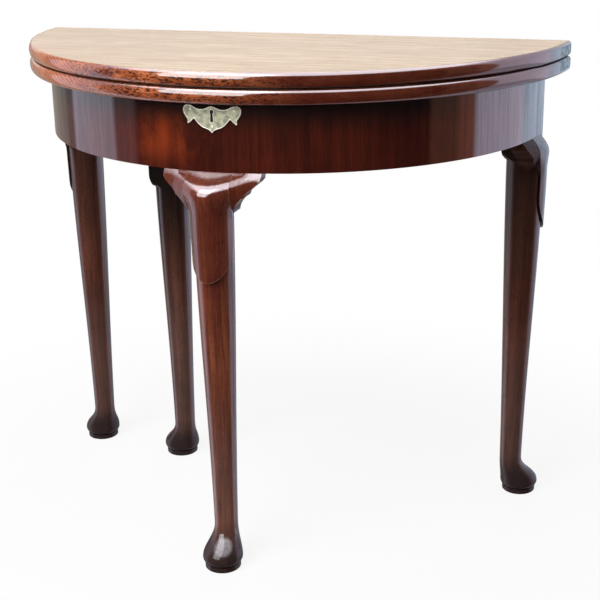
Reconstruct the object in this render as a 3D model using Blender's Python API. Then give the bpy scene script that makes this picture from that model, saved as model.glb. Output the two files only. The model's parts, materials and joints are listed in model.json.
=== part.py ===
"""Half-round tea table with a folding top, a swinging rear leg and a well under the lid.

Units are metres, Z is up, the front of the table faces -Y.
Plan positions are given as x and as the depth forward of the back edge of the closed top.
"""

import math

import bmesh
import bpy
from mathutils import Matrix, Vector

# Overall sizes
TOTAL_HEIGHT = 0.720
LEAF_HALF_WIDTH = 0.420
LEAF_DEPTH = 0.393
FRIEZE_END_SETBACK = 0.0352
FRIEZE_FRONT_SETBACK = 0.0236
FRIEZE_HEIGHT = 0.0926

# Fits
GAP = 0.0003
RUNNING_GAP = 0.0004
OVERRUN = 0.004
SMALL_OVERRUN = 0.0005

# Leaves of the top
LEAF_THICKNESS = 0.0205
LEAF_PARTING = 0.001
LEAF_TOP_ROUND = 0.0055
LEAF_FOOT_ROUND = 0.0035
BACK_ARRIS = 0.001
LEAF_STEPS = 64
ROUND_STEPS = 6

# Card-table hinges in the ends of the leaves
HINGE_PIN_SETBACK = 0.005
STRAP_LENGTH = 0.055
STRAP_THICKNESS = 0.003
STRAP_HEIGHT = 0.016
HINGE_BLOCK_LENGTH = 0.012
HINGE_BLOCK_WIDTH = 0.006
LINK_INSET = 0.0034
LINK_THICKNESS = 0.002
LINK_END_RADIUS = 0.004
LINK_PIN_RADIUS = 0.0015
PIN_END_INSET = 0.001

# Curved frieze
VENEER_THICKNESS = 0.0015
CORE_THICKNESS = 0.022
CORE_JOINT_ANGLE = math.radians(24.0)
VENEER_JOINT_ANGLE = math.radians(31.0)
FRIEZE_STEPS = 20

# Rails across the back
STILE_BACK = 0.001
STILE_FRONT = 0.043
STILE_WIDTH = 0.0418
OUTER_RAIL_BACK = 0.0175
OUTER_RAIL_THICKNESS = 0.025
INNER_RAIL_THICKNESS = 0.018

# Knuckle joint of the gate
KNUCKLE_SHARE = 0.22
KNUCKLE_FINGERS = 5
KNUCKLE_PIN_RADIUS = 0.003
KNUCKLE_PIN_INSET = 0.001
KNUCKLE_STEPS = 16

# Legs
FRONT_LEG_SETBACK = 0.0029
END_LEG_SETBACK = 0.0205
END_LEG_DEPTH = 0.025
GATE_LEG_SPACING = 0.164
GATE_LEG_DEPTH = 0.047
LEG_TOP_RADIUS = 0.028
ANKLE_RADIUS = 0.017
ANKLE_HEIGHT = 0.062
ANKLE_DRIFT = 0.005
TAPER_DROP = 0.065
LEG_STEPS = 32
LEG_ROWS = 10
FRONT_TOE = math.radians(-90.0)
RIGHT_TOE = math.radians(45.0)
LEFT_TOE = math.radians(135.0)

# Pad feet
PAD_RADIUS = 0.0293
PAD_HEIGHT = 0.017
PAD_REACH = 0.0130
PAD_UNDERCUT_RADIUS = 0.0250
PAD_UNDERCUT_HEIGHT = 0.0095
DISC_RADIUS = 0.026
DISC_HEIGHT = 0.0082
DISC_CHAMFER = 0.0008
FLARE_POWER = 1.2
FOOT_ROWS = 9
PAD_ROWS = 4

# Front leg stile
FRONT_STILE_HALF_WIDTH = 0.022
FRONT_STILE_BACK_INSET = 0.0219
FRONT_STILE_FRONT_INSET = 0.0032
FRONT_STILE_LOCK_GAP = 0.0073
STILE_ROOT = 0.010

# Gate leg block
GATE_BLOCK_WIDTH = 0.0558
GATE_SHOULDER_DROP = 0.107
GATE_SHOULDER_RISE = 0.042
GATE_SHOULDER_RADIUS = 0.042
SHOULDER_ROWS = 8
GATE_END_GAP = 0.001

# Knees and lappets, heights measured down from the frieze
KNEE_HALF_WIDTH = 0.0318
KNEE_BACK = 0.0285
KNEE_ROLL = 0.028
EAR_ROLL = 0.016
FRONT_KNEE_BULGE = 0.0350
SIDE_KNEE_BULGE = 0.0155
EAR_BULGE = 0.0085
BACK_KNEE_BULGE = 0.0060
BULGE_HALF_WIDTH = 0.066
KNEE_BLEND_START = 0.022
KNEE_BLEND_END = 0.062
KNEE_CORNER_POWER = 3.0
LAPPET_HALF_ANGLE = math.radians(78.0)
LAPPET_TIP_ANGLE = math.radians(5.0)
LAPPET_MIDDLE = 0.0050
LAPPET_EDGE = 0.0032
LAPPET_ROOT = 0.003
LAPPET_STRAIGHT_END = 0.092
LAPPET_TIP = 0.147
LAPPET_TONGUE_POWER = 0.7
KNEE_STEPS = 18
KNEE_UPPER_ROWS = 12
KNEE_LOWER_ROWS = 10
KNEE_ROW_POWER = 1.5

# Ears beside the knees
EAR_TIP = 0.0690
EAR_END_HEIGHT = 0.006
EAR_CUSP = 0.0480
EAR_CUSP_STEP = 0.0025
EAR_CUSP_DEPTH = 0.031
EAR_FOOT = 0.0335
EAR_FOOT_DEPTH = 0.052
EAR_CUSP_HEIGHT = 0.0001
EAR_BACK_DEPTH = 0.017
EAR_STEPS = 8
EAR_ROWS = 7
REAR_EAR_TIP = 0.0465
REAR_EAR_END = 0.0012
REAR_EAR_DEPTH = 0.022
REAR_EAR_FRONT = 0.0400
REAR_EAR_BACK = 0.0150

# Well
BOTTOM_BOARD_RISE = 0.008
BOTTOM_BOARD_THICKNESS = 0.007
GLUE_BLOCK_LENGTH = 0.036
GLUE_BLOCK_WIDTH = 0.014
GLUE_BLOCK_HEIGHT = 0.0072
GLUE_BLOCK_ANGLES = (math.radians(-58.0), math.radians(-33.0), math.radians(33.0), math.radians(58.0))

# Lock and escutcheon
LOCK_X = 0.005
LOCK_WIDTH = 0.064
LOCK_HEIGHT = 0.038
LOCK_DEPTH = 0.011
LOCK_WALL = 0.0015
LOCK_CAP_THICKNESS = 0.0015
LOCK_SETBACK = 0.0122
KEYHOLE_BELOW_TOP = 0.0146
KEYHOLE_RADIUS = 0.0027
KEYHOLE_TAIL = 0.0062
KEYHOLE_TAIL_HALF_WIDTH = 0.0013
LINK_PLATE_HALF_LENGTH = 0.028
LINK_PLATE_HALF_WIDTH = 0.005
LINK_PLATE_THICKNESS = 0.0018
STAPLE_SPACING = 0.030
STAPLE_THICKNESS = 0.003
STAPLE_HALF_DEPTH = 0.0030
STAPLE_DROP = 0.0095
STAPLE_EYE_HALF_WIDTH = 0.0017
STAPLE_EYE_LOW = 0.0080
STAPLE_EYE_HIGH = 0.0040
BOLT_THROW = 0.008
BOLT_START_GAP = 0.0007
BOLT_HALF_DEPTH = 0.0013
BOLT_BAR_HEIGHT = 0.006
BOLT_BAR_LOW = 0.021
BOLT_NOSE_LENGTH = 0.0085
BOLT_NOSE_HIGH = 0.0045
BOLT_NOSE_LOW = 0.0075
BOLT_POST_WIDTH = 0.004

ESCUTCHEON_THICKNESS = 0.0015
ESCUTCHEON_HALF_WIDTH = 0.0395
ESCUTCHEON_TOP = 0.0025
ESCUTCHEON_DROP = 0.0375
ESCUTCHEON_SHOULDER_DROP = 0.0035
ESCUTCHEON_LOBE_DROP = 0.0160
ESCUTCHEON_HIP_X = 0.0330
ESCUTCHEON_HIP_DROP = 0.0275
ESCUTCHEON_NOTCH_X = 0.0250
ESCUTCHEON_NOTCH_DROP = 0.0215
ESCUTCHEON_BELLY_X = 0.0100
ESCUTCHEON_BELLY_DROP = 0.0290
ESCUTCHEON_STEPS = 5

# Butt hinges of the lid
LID_HINGE_SETBACK = 0.0228
LID_HINGE_HALF_WIDTH = 0.014
LID_PIN_DROP = 0.003
LID_BARREL_RADIUS = 0.0027
LID_PIN_RADIUS = 0.0010
LID_HINGE_LEAF = 0.0015
LID_HINGE_DEPTH = 0.016
LID_CRANK_BACK = 0.0006
LID_CRANK_FRONT = 0.0015
LID_KNUCKLE_SHARE = 1 / 3
HINGE_STEPS = 14

# Places that follow from the sizes above
FRIEZE_HALF_WIDTH = LEAF_HALF_WIDTH - FRIEZE_END_SETBACK
FRIEZE_DEPTH = LEAF_DEPTH - FRIEZE_FRONT_SETBACK
STILE_INNER_X = FRIEZE_HALF_WIDTH - STILE_WIDTH
KNUCKLE_X = FRIEZE_HALF_WIDTH * KNUCKLE_SHARE
FRONT_LEG_DEPTH = FRIEZE_DEPTH - FRONT_LEG_SETBACK
END_LEG_X = FRIEZE_HALF_WIDTH - END_LEG_SETBACK
GATE_LEG_X = GATE_LEG_SPACING - END_LEG_X
FRONT_STILE_BACK = FRIEZE_DEPTH - FRONT_STILE_BACK_INSET
FRONT_STILE_FRONT = FRIEZE_DEPTH - FRONT_STILE_FRONT_INSET
LOCK_FRONT = FRIEZE_DEPTH - LOCK_SETBACK
LID_HINGE_X = FRIEZE_HALF_WIDTH - LID_HINGE_SETBACK
FRIEZE_BOTTOM = TOTAL_HEIGHT - 2 * LEAF_THICKNESS - LEAF_PARTING - RUNNING_GAP - FRIEZE_HEIGHT
FRIEZE_TOP = FRIEZE_BOTTOM + FRIEZE_HEIGHT
TAPER_START_HEIGHT = FRIEZE_BOTTOM - TAPER_DROP
GATE_SHOULDER_HEIGHT = FRIEZE_BOTTOM - GATE_SHOULDER_DROP
LID_UNDERSIDE = FRIEZE_TOP + RUNNING_GAP
LID_TOP = LID_UNDERSIDE + LEAF_THICKNESS
UPPER_UNDERSIDE = LID_TOP + LEAF_PARTING
FRONT_REACH = FRONT_LEG_DEPTH + PAD_REACH + PAD_RADIUS
BACK_REACH = PAD_REACH * math.sin(RIGHT_TOE) + PAD_RADIUS - END_LEG_DEPTH
BACK_Y = (FRONT_REACH - BACK_REACH) / 2
LEG_TOP = FRIEZE_BOTTOM - GAP
CORE_OUTER_INSET = VENEER_THICKNESS + GAP
CORE_INNER_INSET = CORE_OUTER_INSET + CORE_THICKNESS
OUTER_RAIL_FRONT = OUTER_RAIL_BACK + OUTER_RAIL_THICKNESS
INNER_RAIL_BACK = STILE_FRONT + GAP
INNER_RAIL_FRONT = INNER_RAIL_BACK + INNER_RAIL_THICKNESS
KNUCKLE_DEPTH = OUTER_RAIL_BACK + OUTER_RAIL_THICKNESS / 2
KNUCKLE_RADIUS = OUTER_RAIL_THICKNESS / 2
LOCK_TOP = FRIEZE_TOP - GAP
LOCK_BACK = LOCK_FRONT - LOCK_DEPTH
FRONT_STILE_TOP = LOCK_TOP - LOCK_HEIGHT - FRONT_STILE_LOCK_GAP
LOCK_MIDDLE = (LOCK_FRONT + LOCK_BACK) / 2
KEYHOLE_Z = FRIEZE_TOP - KEYHOLE_BELOW_TOP


def empty_the_scene():
    """Remove every object, mesh and material of the starting scene."""
    for item in list(bpy.data.objects):
        bpy.data.objects.remove(item, do_unlink=True)
    for mesh in list(bpy.data.meshes):
        bpy.data.meshes.remove(mesh)
    for material in list(bpy.data.materials):
        bpy.data.materials.remove(material)


def finish(name, colour, roughness, metallic):
    """Return a plain shaded material of the given colour."""
    material = bpy.data.materials.new(name)
    material.use_nodes = True
    shader = material.node_tree.nodes["Principled BSDF"]
    shader.inputs["Base Color"].default_value = (*colour, 1.0)
    shader.inputs["Roughness"].default_value = roughness
    shader.inputs["Metallic"].default_value = metallic
    material.diffuse_color = (*colour, 1.0)
    return material


def mahogany_top():
    """Red-brown wood of the leaves."""
    return finish("mahogany_top", (0.200, 0.062, 0.022), 0.26, 0.0)


def mahogany_leg():
    """Darker wood of the legs, knees and feet."""
    return finish("mahogany_leg", (0.075, 0.021, 0.012), 0.28, 0.0)


def mahogany_veneer():
    """Flame-figured veneer of the frieze."""
    return finish("mahogany_veneer", (0.120, 0.033, 0.016), 0.25, 0.0)


def oak():
    """Plain wood of the rails and the gate."""
    return finish("oak", (0.240, 0.140, 0.065), 0.55, 0.0)


def pine():
    """Pale wood of the frieze core, bottom board and glue blocks."""
    return finish("pine", (0.420, 0.270, 0.130), 0.60, 0.0)


def brass():
    """Bright brass of the hinges."""
    return finish("brass", (0.560, 0.400, 0.170), 0.35, 1.0)


def aged_brass():
    """Pale greenish brass of the escutcheon."""
    return finish("aged_brass", (0.520, 0.480, 0.330), 0.40, 1.0)


def iron():
    """Dark iron of the lock and the gate pin."""
    return finish("iron", (0.120, 0.115, 0.110), 0.45, 1.0)


def circle_of(half_width, depth):
    """Radius of a half-round edge and how far its centre lies behind the back plane."""
    behind = (half_width ** 2 - depth ** 2) / (2 * depth)
    return depth + behind, behind


LEAF_RADIUS, LEAF_CENTRE_BEHIND = circle_of(LEAF_HALF_WIDTH, LEAF_DEPTH)
FRIEZE_RADIUS, FRIEZE_CENTRE_BEHIND = circle_of(FRIEZE_HALF_WIDTH, FRIEZE_DEPTH)


def on_arc(radius, behind, angle):
    """Plan point (x, depth) on an arc, the angle counted from straight ahead."""
    return radius * math.sin(angle), radius * math.cos(angle) - behind


def angle_at_depth(radius, behind, depth):
    """Angle at which an arc passes a given depth."""
    return math.acos((depth + behind) / radius)


def width_at_depth(radius, behind, depth):
    """Half width of an arc at a given depth."""
    return math.sqrt(radius ** 2 - (depth + behind) ** 2)


def arc_points(radius, behind, start, stop, steps):
    """Plan points along an arc from one angle to another."""
    return [on_arc(radius, behind, start + (stop - start) * i / steps) for i in range(steps + 1)]


def world(plan, height):
    """World point of a plan point (x, depth) at a height."""
    return Vector((plan[0], BACK_Y - plan[1], height))


def quarter(share):
    """Quarter-circle rise from 0 to 1."""
    held = min(max(share, 0.0), 1.0)
    return math.sqrt(1.0 - (1.0 - held) ** 2)


def ease(share):
    """Smooth rise from 0 to 1."""
    held = min(max(share, 0.0), 1.0)
    return math.sin(math.pi / 2 * held) ** 2


def mesh_object(name, shape, material):
    """Link a bmesh into the scene as a named object."""
    bmesh.ops.recalc_face_normals(shape, faces=shape.faces[:])
    mesh = bpy.data.meshes.new(name)
    shape.to_mesh(mesh)
    shape.free()
    item = bpy.data.objects.new(name, mesh)
    bpy.context.scene.collection.objects.link(item)
    if material is not None:
        mesh.materials.append(material)
    return item


def loft(name, rows, material=None):
    """Closed solid through equal loops of points, capped at both ends."""
    shape = bmesh.new()
    loops = [[shape.verts.new(point) for point in row] for row in rows]
    count = len(loops[0])
    for low, high in zip(loops, loops[1:]):
        for i in range(count):
            j = (i + 1) % count
            shape.faces.new((low[i], low[j], high[j], high[i]))
    shape.faces.new(list(reversed(loops[0])))
    shape.faces.new(loops[-1])
    return mesh_object(name, shape, material)


def prism(name, plan, low, high, material=None):
    """Upright solid over a plan outline."""
    return loft(name, [[world(p, low) for p in plan], [world(p, high) for p in plan]], material)


def box(name, x_range, depth_range, z_range, material=None):
    """Rectangular block between two x, two depths and two heights."""
    x0, x1 = x_range
    d0, d1 = depth_range
    return prism(name, [(x0, d0), (x1, d0), (x1, d1), (x0, d1)], z_range[0], z_range[1], material)


def across(name, outline, x_range, material=None):
    """Solid with a side outline of (depth, height) points, running along X."""
    rows = [[Vector((x, BACK_Y - d, z)) for d, z in outline] for x in x_range]
    return loft(name, rows, material)


def disc_outline(depth, height, radius, steps):
    """Side outline of a round rod."""
    turn = 2 * math.pi / steps
    return [(depth + radius * math.cos(i * turn), height + radius * math.sin(i * turn)) for i in range(steps)]


def rod_across(name, depth, height, radius, x_range, steps=HINGE_STEPS):
    """Round rod along X."""
    return across(name, disc_outline(depth, height, radius, steps), x_range)


def rod_upright(name, plan, radius, z_range, steps, material=None):
    """Round rod along Z."""
    turn = 2 * math.pi / steps
    ring = [(plan[0] + radius * math.cos(i * turn), plan[1] + radius * math.sin(i * turn)) for i in range(steps)]
    return prism(name, ring, z_range[0], z_range[1], material)


def combine(target, tools, operation):
    """Union, cut or intersect a solid with others, which are then removed."""
    for tool in tools:
        tool.hide_render = True
        tool.display_type = "WIRE"
        step = target.modifiers.new("shape", "BOOLEAN")
        step.operation = operation
        step.solver = "EXACT"
        step.object = tool
    bpy.context.view_layer.update()
    shaped = bpy.data.meshes.new_from_object(target.evaluated_get(bpy.context.evaluated_depsgraph_get()))
    plain = target.data
    target.modifiers.clear()
    target.data = shaped
    shaped.name = plain.name
    bpy.data.meshes.remove(plain)
    for tool in tools:
        mesh = tool.data
        bpy.data.objects.remove(tool, do_unlink=True)
        bpy.data.meshes.remove(mesh)
    return target


def cut(target, *tools):
    """Cut the tools out of a solid."""
    return combine(target, tools, "DIFFERENCE")


def join(target, *tools):
    """Join the tools to a solid as one body."""
    return combine(target, tools, "UNION")


def settle(item, origin, smooth=False):
    """Move an object's origin to a point, and shade its round sides smooth."""
    item.data.transform(Matrix.Translation(-origin))
    item.location = origin
    if smooth:
        item.data.shade_smooth()
        item.data.set_sharp_from_angle(angle=math.radians(32.0))
    return item


def edge_inset(height, low_radius, high_radius):
    """How far a rounded edge draws in at a height above the underside of a leaf."""
    if height < low_radius:
        return low_radius * (1 - quarter(height / low_radius))
    above = LEAF_THICKNESS - height
    if above < high_radius:
        return high_radius * (1 - quarter(above / high_radius))
    return 0.0


def leaf_heights():
    """Heights of the rows of a leaf, close together over its rounded edges."""
    turn = math.pi / 2 / ROUND_STEPS
    low = [LEAF_TOP_ROUND * (1 - math.cos(i * turn)) for i in range(ROUND_STEPS + 1)]
    return low + [LEAF_THICKNESS - height for height in reversed(low)]


def leaf(name, underside, back_low, back_high, material=None):
    """Half-round leaf, its front edge rounded and its back edge eased."""
    rows = []
    for height in leaf_heights():
        radius = LEAF_RADIUS - edge_inset(height, LEAF_FOOT_ROUND, LEAF_TOP_ROUND)
        back = edge_inset(height, back_low, back_high)
        end = angle_at_depth(radius, LEAF_CENTRE_BEHIND, back)
        plan = arc_points(radius, LEAF_CENTRE_BEHIND, -end, end, LEAF_STEPS)
        rows.append([world(point, underside + height) for point in plan])
    return loft(name, rows, material)


def upper_leaf_solid(name, material=None):
    """Flap that folds back, its lower back arris round about the hinge pins."""
    return leaf(name, UPPER_UNDERSIDE, HINGE_PIN_SETBACK, BACK_ARRIS, material)


def lower_leaf_solid(name, material=None):
    """Lid over the well, its upper back arris round about the hinge pins."""
    return leaf(name, LID_UNDERSIDE, BACK_ARRIS, HINGE_PIN_SETBACK, material)


def strap_shape(name, side, z_range, clearance):
    """Bent plate with a thick hinge block at the back, before it takes the leaf's edge."""
    reach = LEAF_RADIUS - STRAP_THICKNESS - clearance
    step = HINGE_BLOCK_LENGTH + clearance
    end = STRAP_LENGTH + clearance
    start = angle_at_depth(reach, LEAF_CENTRE_BEHIND, step)
    stop = angle_at_depth(reach, LEAF_CENTRE_BEHIND, end)
    block_x = LEAF_HALF_WIDTH - HINGE_BLOCK_WIDTH - clearance
    far_x = LEAF_HALF_WIDTH + OVERRUN
    inner = arc_points(reach, LEAF_CENTRE_BEHIND, start, stop, ROUND_STEPS)
    plan = [(far_x, -OVERRUN), (block_x, -OVERRUN), (block_x, step), *inner, (far_x, end)]
    return prism(name, [(side * x, depth) for x, depth in plan], z_range[0], z_range[1])


def strap_range(upper, clearance):
    """Heights between which a strap is let into its leaf."""
    if upper:
        return UPPER_UNDERSIDE - SMALL_OVERRUN, UPPER_UNDERSIDE + STRAP_HEIGHT + clearance
    return LID_TOP - STRAP_HEIGHT - clearance, LID_TOP + SMALL_OVERRUN


def link_slot(name, side, meeting, inward):
    """Slot in a strap in which the link turns from upright to level."""
    reach = HINGE_PIN_SETBACK + LINK_END_RADIUS + RUNNING_GAP
    near = LEAF_HALF_WIDTH - LINK_INSET + GAP
    far = near - LINK_THICKNESS - 2 * GAP
    heights = sorted((meeting - inward * OVERRUN, meeting + inward * reach))
    return box(name, sorted((side * near, side * far)), (-OVERRUN, reach), heights)


def strap(name, side, upper, material):
    """Brass strap let flush into the end of a leaf, with the slot and hole for its link."""
    source = upper_leaf_solid if upper else lower_leaf_solid
    item = source(name, material)
    combine(item, [strap_shape("shape", side, strap_range(upper, 0.0), 0.0)], "INTERSECT")
    meeting = UPPER_UNDERSIDE if upper else LID_TOP
    inward = 1 if upper else -1
    pin_z = meeting + inward * HINGE_PIN_SETBACK
    hole_x = (side * (LEAF_HALF_WIDTH - 2 * HINGE_BLOCK_WIDTH), side * (LEAF_HALF_WIDTH + OVERRUN))
    hole = rod_across("hole", HINGE_PIN_SETBACK, pin_z, LINK_PIN_RADIUS + GAP, hole_x)
    cut(item, link_slot("slot", side, meeting, inward), hole)
    return settle(item, Vector((side * LEAF_HALF_WIDTH, BACK_Y, meeting)))


def hinge_link(name, side, material):
    """Link with two fixed pins, which ties the two leaves together."""
    low = LID_TOP - HINGE_PIN_SETBACK
    high = UPPER_UNDERSIDE + HINGE_PIN_SETBACK
    turn = math.pi / ROUND_STEPS
    outline = []
    for centre, start in ((low, math.pi), (high, 0.0)):
        for i in range(ROUND_STEPS + 1):
            angle = start + i * turn
            depth = HINGE_PIN_SETBACK + LINK_END_RADIUS * math.cos(angle)
            outline.append((depth, centre + LINK_END_RADIUS * math.sin(angle)))
    near = side * (LEAF_HALF_WIDTH - LINK_INSET)
    item = across(name, outline, (near, near - side * LINK_THICKNESS), material)
    ends = (side * (LEAF_HALF_WIDTH - HINGE_BLOCK_WIDTH + GAP), side * (LEAF_HALF_WIDTH - PIN_END_INSET))
    pins = [rod_across("pin", HINGE_PIN_SETBACK, z, LINK_PIN_RADIUS, ends) for z in (low, high)]
    join(item, *pins)
    return settle(item, Vector((near, BACK_Y - HINGE_PIN_SETBACK, low)))


def strap_recesses(upper):
    """Cutters for both straps of a leaf."""
    return [strap_shape("recess", side, strap_range(upper, GAP), GAP) for side in (-1, 1)]


def upper_leaf(material):
    """Flap of the top."""
    item = upper_leaf_solid("upper_leaf", material)
    cut(item, *strap_recesses(True))
    return settle(item, Vector((0.0, BACK_Y - HINGE_PIN_SETBACK, UPPER_UNDERSIDE + HINGE_PIN_SETBACK)), True)


def lid_recesses():
    """Cutters in the underside of the lid for its butt hinges and the link plate."""
    tools = []
    for side in (-1, 1):
        edge = LID_HINGE_HALF_WIDTH + GAP
        span = (side * LID_HINGE_X - edge, side * LID_HINGE_X + edge)
        heights = (LID_UNDERSIDE - OVERRUN, LID_UNDERSIDE + LID_HINGE_LEAF + GAP)
        tools.append(box("recess", span, (-OVERRUN, LID_HINGE_DEPTH + GAP), heights))
    length = LINK_PLATE_HALF_LENGTH + GAP
    width = LINK_PLATE_HALF_WIDTH + GAP
    heights = (LID_UNDERSIDE - OVERRUN, LID_UNDERSIDE + LINK_PLATE_THICKNESS + GAP)
    tools.append(box("recess", (LOCK_X - length, LOCK_X + length),
                     (LOCK_MIDDLE - width, LOCK_MIDDLE + width), heights))
    return tools


def lower_leaf(material):
    """Lid over the well."""
    item = lower_leaf_solid("lower_leaf", material)
    cut(item, *strap_recesses(False), *lid_recesses())
    return settle(item, Vector((0.0, BACK_Y, LID_UNDERSIDE - LID_PIN_DROP)), True)


def ring_sector(outer_inset, inner_inset, start, stop):
    """Plan outline of a curved piece of the frieze, None meaning an end square on the stile."""
    def edge(inset):
        radius = FRIEZE_RADIUS - inset
        limit = angle_at_depth(radius, FRIEZE_CENTRE_BEHIND, INNER_RAIL_BACK)
        first = -limit if start is None else start
        last = limit if stop is None else stop
        return arc_points(radius, FRIEZE_CENTRE_BEHIND, first, last, FRIEZE_STEPS)
    return edge(outer_inset) + list(reversed(edge(inner_inset)))


def frieze_piece(name, insets, start, stop, material):
    """Curved board of the frieze."""
    plan = ring_sector(insets[0], insets[1], start, stop)
    return prism(name, plan, FRIEZE_BOTTOM, FRIEZE_TOP, material)


def keyhole_rod(name):
    """Cutter for the round keyhole."""
    turn = 2 * math.pi / KNUCKLE_STEPS
    ring = [(LOCK_X + KEYHOLE_RADIUS * math.cos(i * turn), KEYHOLE_Z + KEYHOLE_RADIUS * math.sin(i * turn))
            for i in range(KNUCKLE_STEPS)]
    depths = (FRIEZE_DEPTH + OVERRUN, LOCK_FRONT - LOCK_WALL - 2 * SMALL_OVERRUN)
    return loft(name, [[Vector((x, BACK_Y - depth, z)) for x, z in ring] for depth in depths])


def lock_recess():
    """Cutter for the lock, open to the top and to the inside of the frieze."""
    half = LOCK_WIDTH / 2 + GAP
    low = LOCK_TOP - LOCK_HEIGHT - GAP
    depths = (LOCK_BACK - 2 * OVERRUN, LOCK_FRONT + GAP)
    return box("recess", (LOCK_X - half, LOCK_X + half), depths, (low, FRIEZE_TOP + OVERRUN))


def front_stile_notch():
    """Cutter for the stile of the front leg."""
    half = FRONT_STILE_HALF_WIDTH + GAP
    depths = (FRONT_STILE_BACK - GAP, FRIEZE_DEPTH + OVERRUN)
    heights = (FRIEZE_BOTTOM - OVERRUN, FRONT_STILE_TOP + GAP)
    return box("notch", (-half, half), depths, heights)


def frieze(core_material, veneer_material):
    """Three core boards and three sheets of veneer over them."""
    core = (CORE_OUTER_INSET, CORE_INNER_INSET)
    skin = (0.0, VENEER_THICKNESS)
    slip = GAP / FRIEZE_RADIUS
    for kind, insets, joint, material in (("core", core, CORE_JOINT_ANGLE, core_material),
                                          ("veneer", skin, VENEER_JOINT_ANGLE, veneer_material)):
        left = frieze_piece(f"frieze_{kind}_left", insets, None, -joint - slip, material)
        right = frieze_piece(f"frieze_{kind}_right", insets, joint + slip, None, material)
        centre = frieze_piece(f"frieze_{kind}_centre", insets, -joint, joint, material)
        cut(centre, keyhole_rod("keyhole"))
        if kind == "core":
            cut(centre, lock_recess(), front_stile_notch())
        for item in (left, right, centre):
            settle(item, Vector((0.0, BACK_Y, FRIEZE_BOTTOM)), True)


def inner_rail(material):
    """Fixed rail across the back of the well."""
    half = width_at_depth(FRIEZE_RADIUS - CORE_INNER_INSET, FRIEZE_CENTRE_BEHIND, INNER_RAIL_FRONT) - GAP
    item = box("inner_rail", (-half, half), (INNER_RAIL_BACK, INNER_RAIL_FRONT),
               (FRIEZE_BOTTOM, FRIEZE_TOP), material)
    return settle(item, Vector((0.0, BACK_Y - INNER_RAIL_BACK, FRIEZE_BOTTOM)))


def fixed_block(material):
    """Short piece of the outer rail between the left leg and the gate leg."""
    left = -STILE_INNER_X + GAP
    right = GATE_LEG_X - GATE_BLOCK_WIDTH / 2 - GATE_END_GAP
    item = box("fixed_block", (left, right), (OUTER_RAIL_BACK, OUTER_RAIL_FRONT),
               (FRIEZE_BOTTOM, FRIEZE_TOP), material)
    return settle(item, Vector((left, BACK_Y - OUTER_RAIL_BACK, FRIEZE_BOTTOM)))


def knuckled_rail(name, far_x, cut_fingers, material):
    """Rail with a round end on the knuckle pin and gaps for the other rail's fingers."""
    away = 1 if far_x > KNUCKLE_X else -1
    turn = math.pi / KNUCKLE_STEPS
    plan = [(far_x, OUTER_RAIL_FRONT), (far_x, OUTER_RAIL_BACK)]
    for i in range(KNUCKLE_STEPS + 1):
        angle = -math.pi / 2 + i * turn
        x = KNUCKLE_X - away * KNUCKLE_RADIUS * math.cos(angle)
        plan.append((x, KNUCKLE_DEPTH + KNUCKLE_RADIUS * math.sin(angle)))
    top = FRIEZE_TOP - GAP
    item = prism(name, plan, FRIEZE_BOTTOM, top, material)
    height = (top - FRIEZE_BOTTOM) / KNUCKLE_FINGERS
    reach = KNUCKLE_RADIUS + RUNNING_GAP
    edge = KNUCKLE_X + away * reach
    span = sorted((edge, edge - away * 3 * reach))
    tools = []
    for level in cut_fingers:
        low = FRIEZE_BOTTOM + level * height - RUNNING_GAP / 2
        high = low + height + RUNNING_GAP
        if level == 0:
            low -= OVERRUN
        if level == KNUCKLE_FINGERS - 1:
            high += OVERRUN
        tools.append(box("gap", span, (OUTER_RAIL_BACK - OVERRUN, OUTER_RAIL_FRONT + OVERRUN), (low, high)))
    bore = rod_upright("bore", (KNUCKLE_X, KNUCKLE_DEPTH), KNUCKLE_PIN_RADIUS + GAP,
                       (FRIEZE_BOTTOM - OVERRUN, FRIEZE_TOP + OVERRUN), KNUCKLE_STEPS)
    cut(item, *tools, bore)
    return settle(item, world((KNUCKLE_X, KNUCKLE_DEPTH), FRIEZE_BOTTOM), True)


def gate_rails(material, pin_material):
    """Fixed and swinging half of the knuckle joint, and the pin between them."""
    moving = tuple(range(1, KNUCKLE_FINGERS, 2))
    fixed = tuple(range(0, KNUCKLE_FINGERS, 2))
    knuckled_rail("knuckle_rail", STILE_INNER_X - GAP, moving, material)
    knuckled_rail("fly_rail", GATE_LEG_X + GATE_BLOCK_WIDTH / 2 + GAP, fixed, material)
    heights = (FRIEZE_BOTTOM + KNUCKLE_PIN_INSET, FRIEZE_TOP - KNUCKLE_PIN_INSET)
    pin = rod_upright("knuckle_pin", (KNUCKLE_X, KNUCKLE_DEPTH), KNUCKLE_PIN_RADIUS, heights,
                      KNUCKLE_STEPS, pin_material)
    settle(pin, world((KNUCKLE_X, KNUCKLE_DEPTH), FRIEZE_BOTTOM), True)


def leg_share(height):
    """Share of the swelling from ankle (0) to the top of the taper (1)."""
    rise = (height - ANKLE_HEIGHT) / (TAPER_START_HEIGHT - ANKLE_HEIGHT)
    held = min(max(rise, 0.0), 1.0)
    return (held + ease(held)) / 2


def leg_radius(height):
    """Radius of the round leg at a height."""
    return ANKLE_RADIUS + (LEG_TOP_RADIUS - ANKLE_RADIUS) * leg_share(height)


def leg_drift(height):
    """How far the leg's centre lies towards the toe, negative at the drawn-back ankle."""
    return -ANKLE_DRIFT * (1 - leg_share(height))


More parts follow.
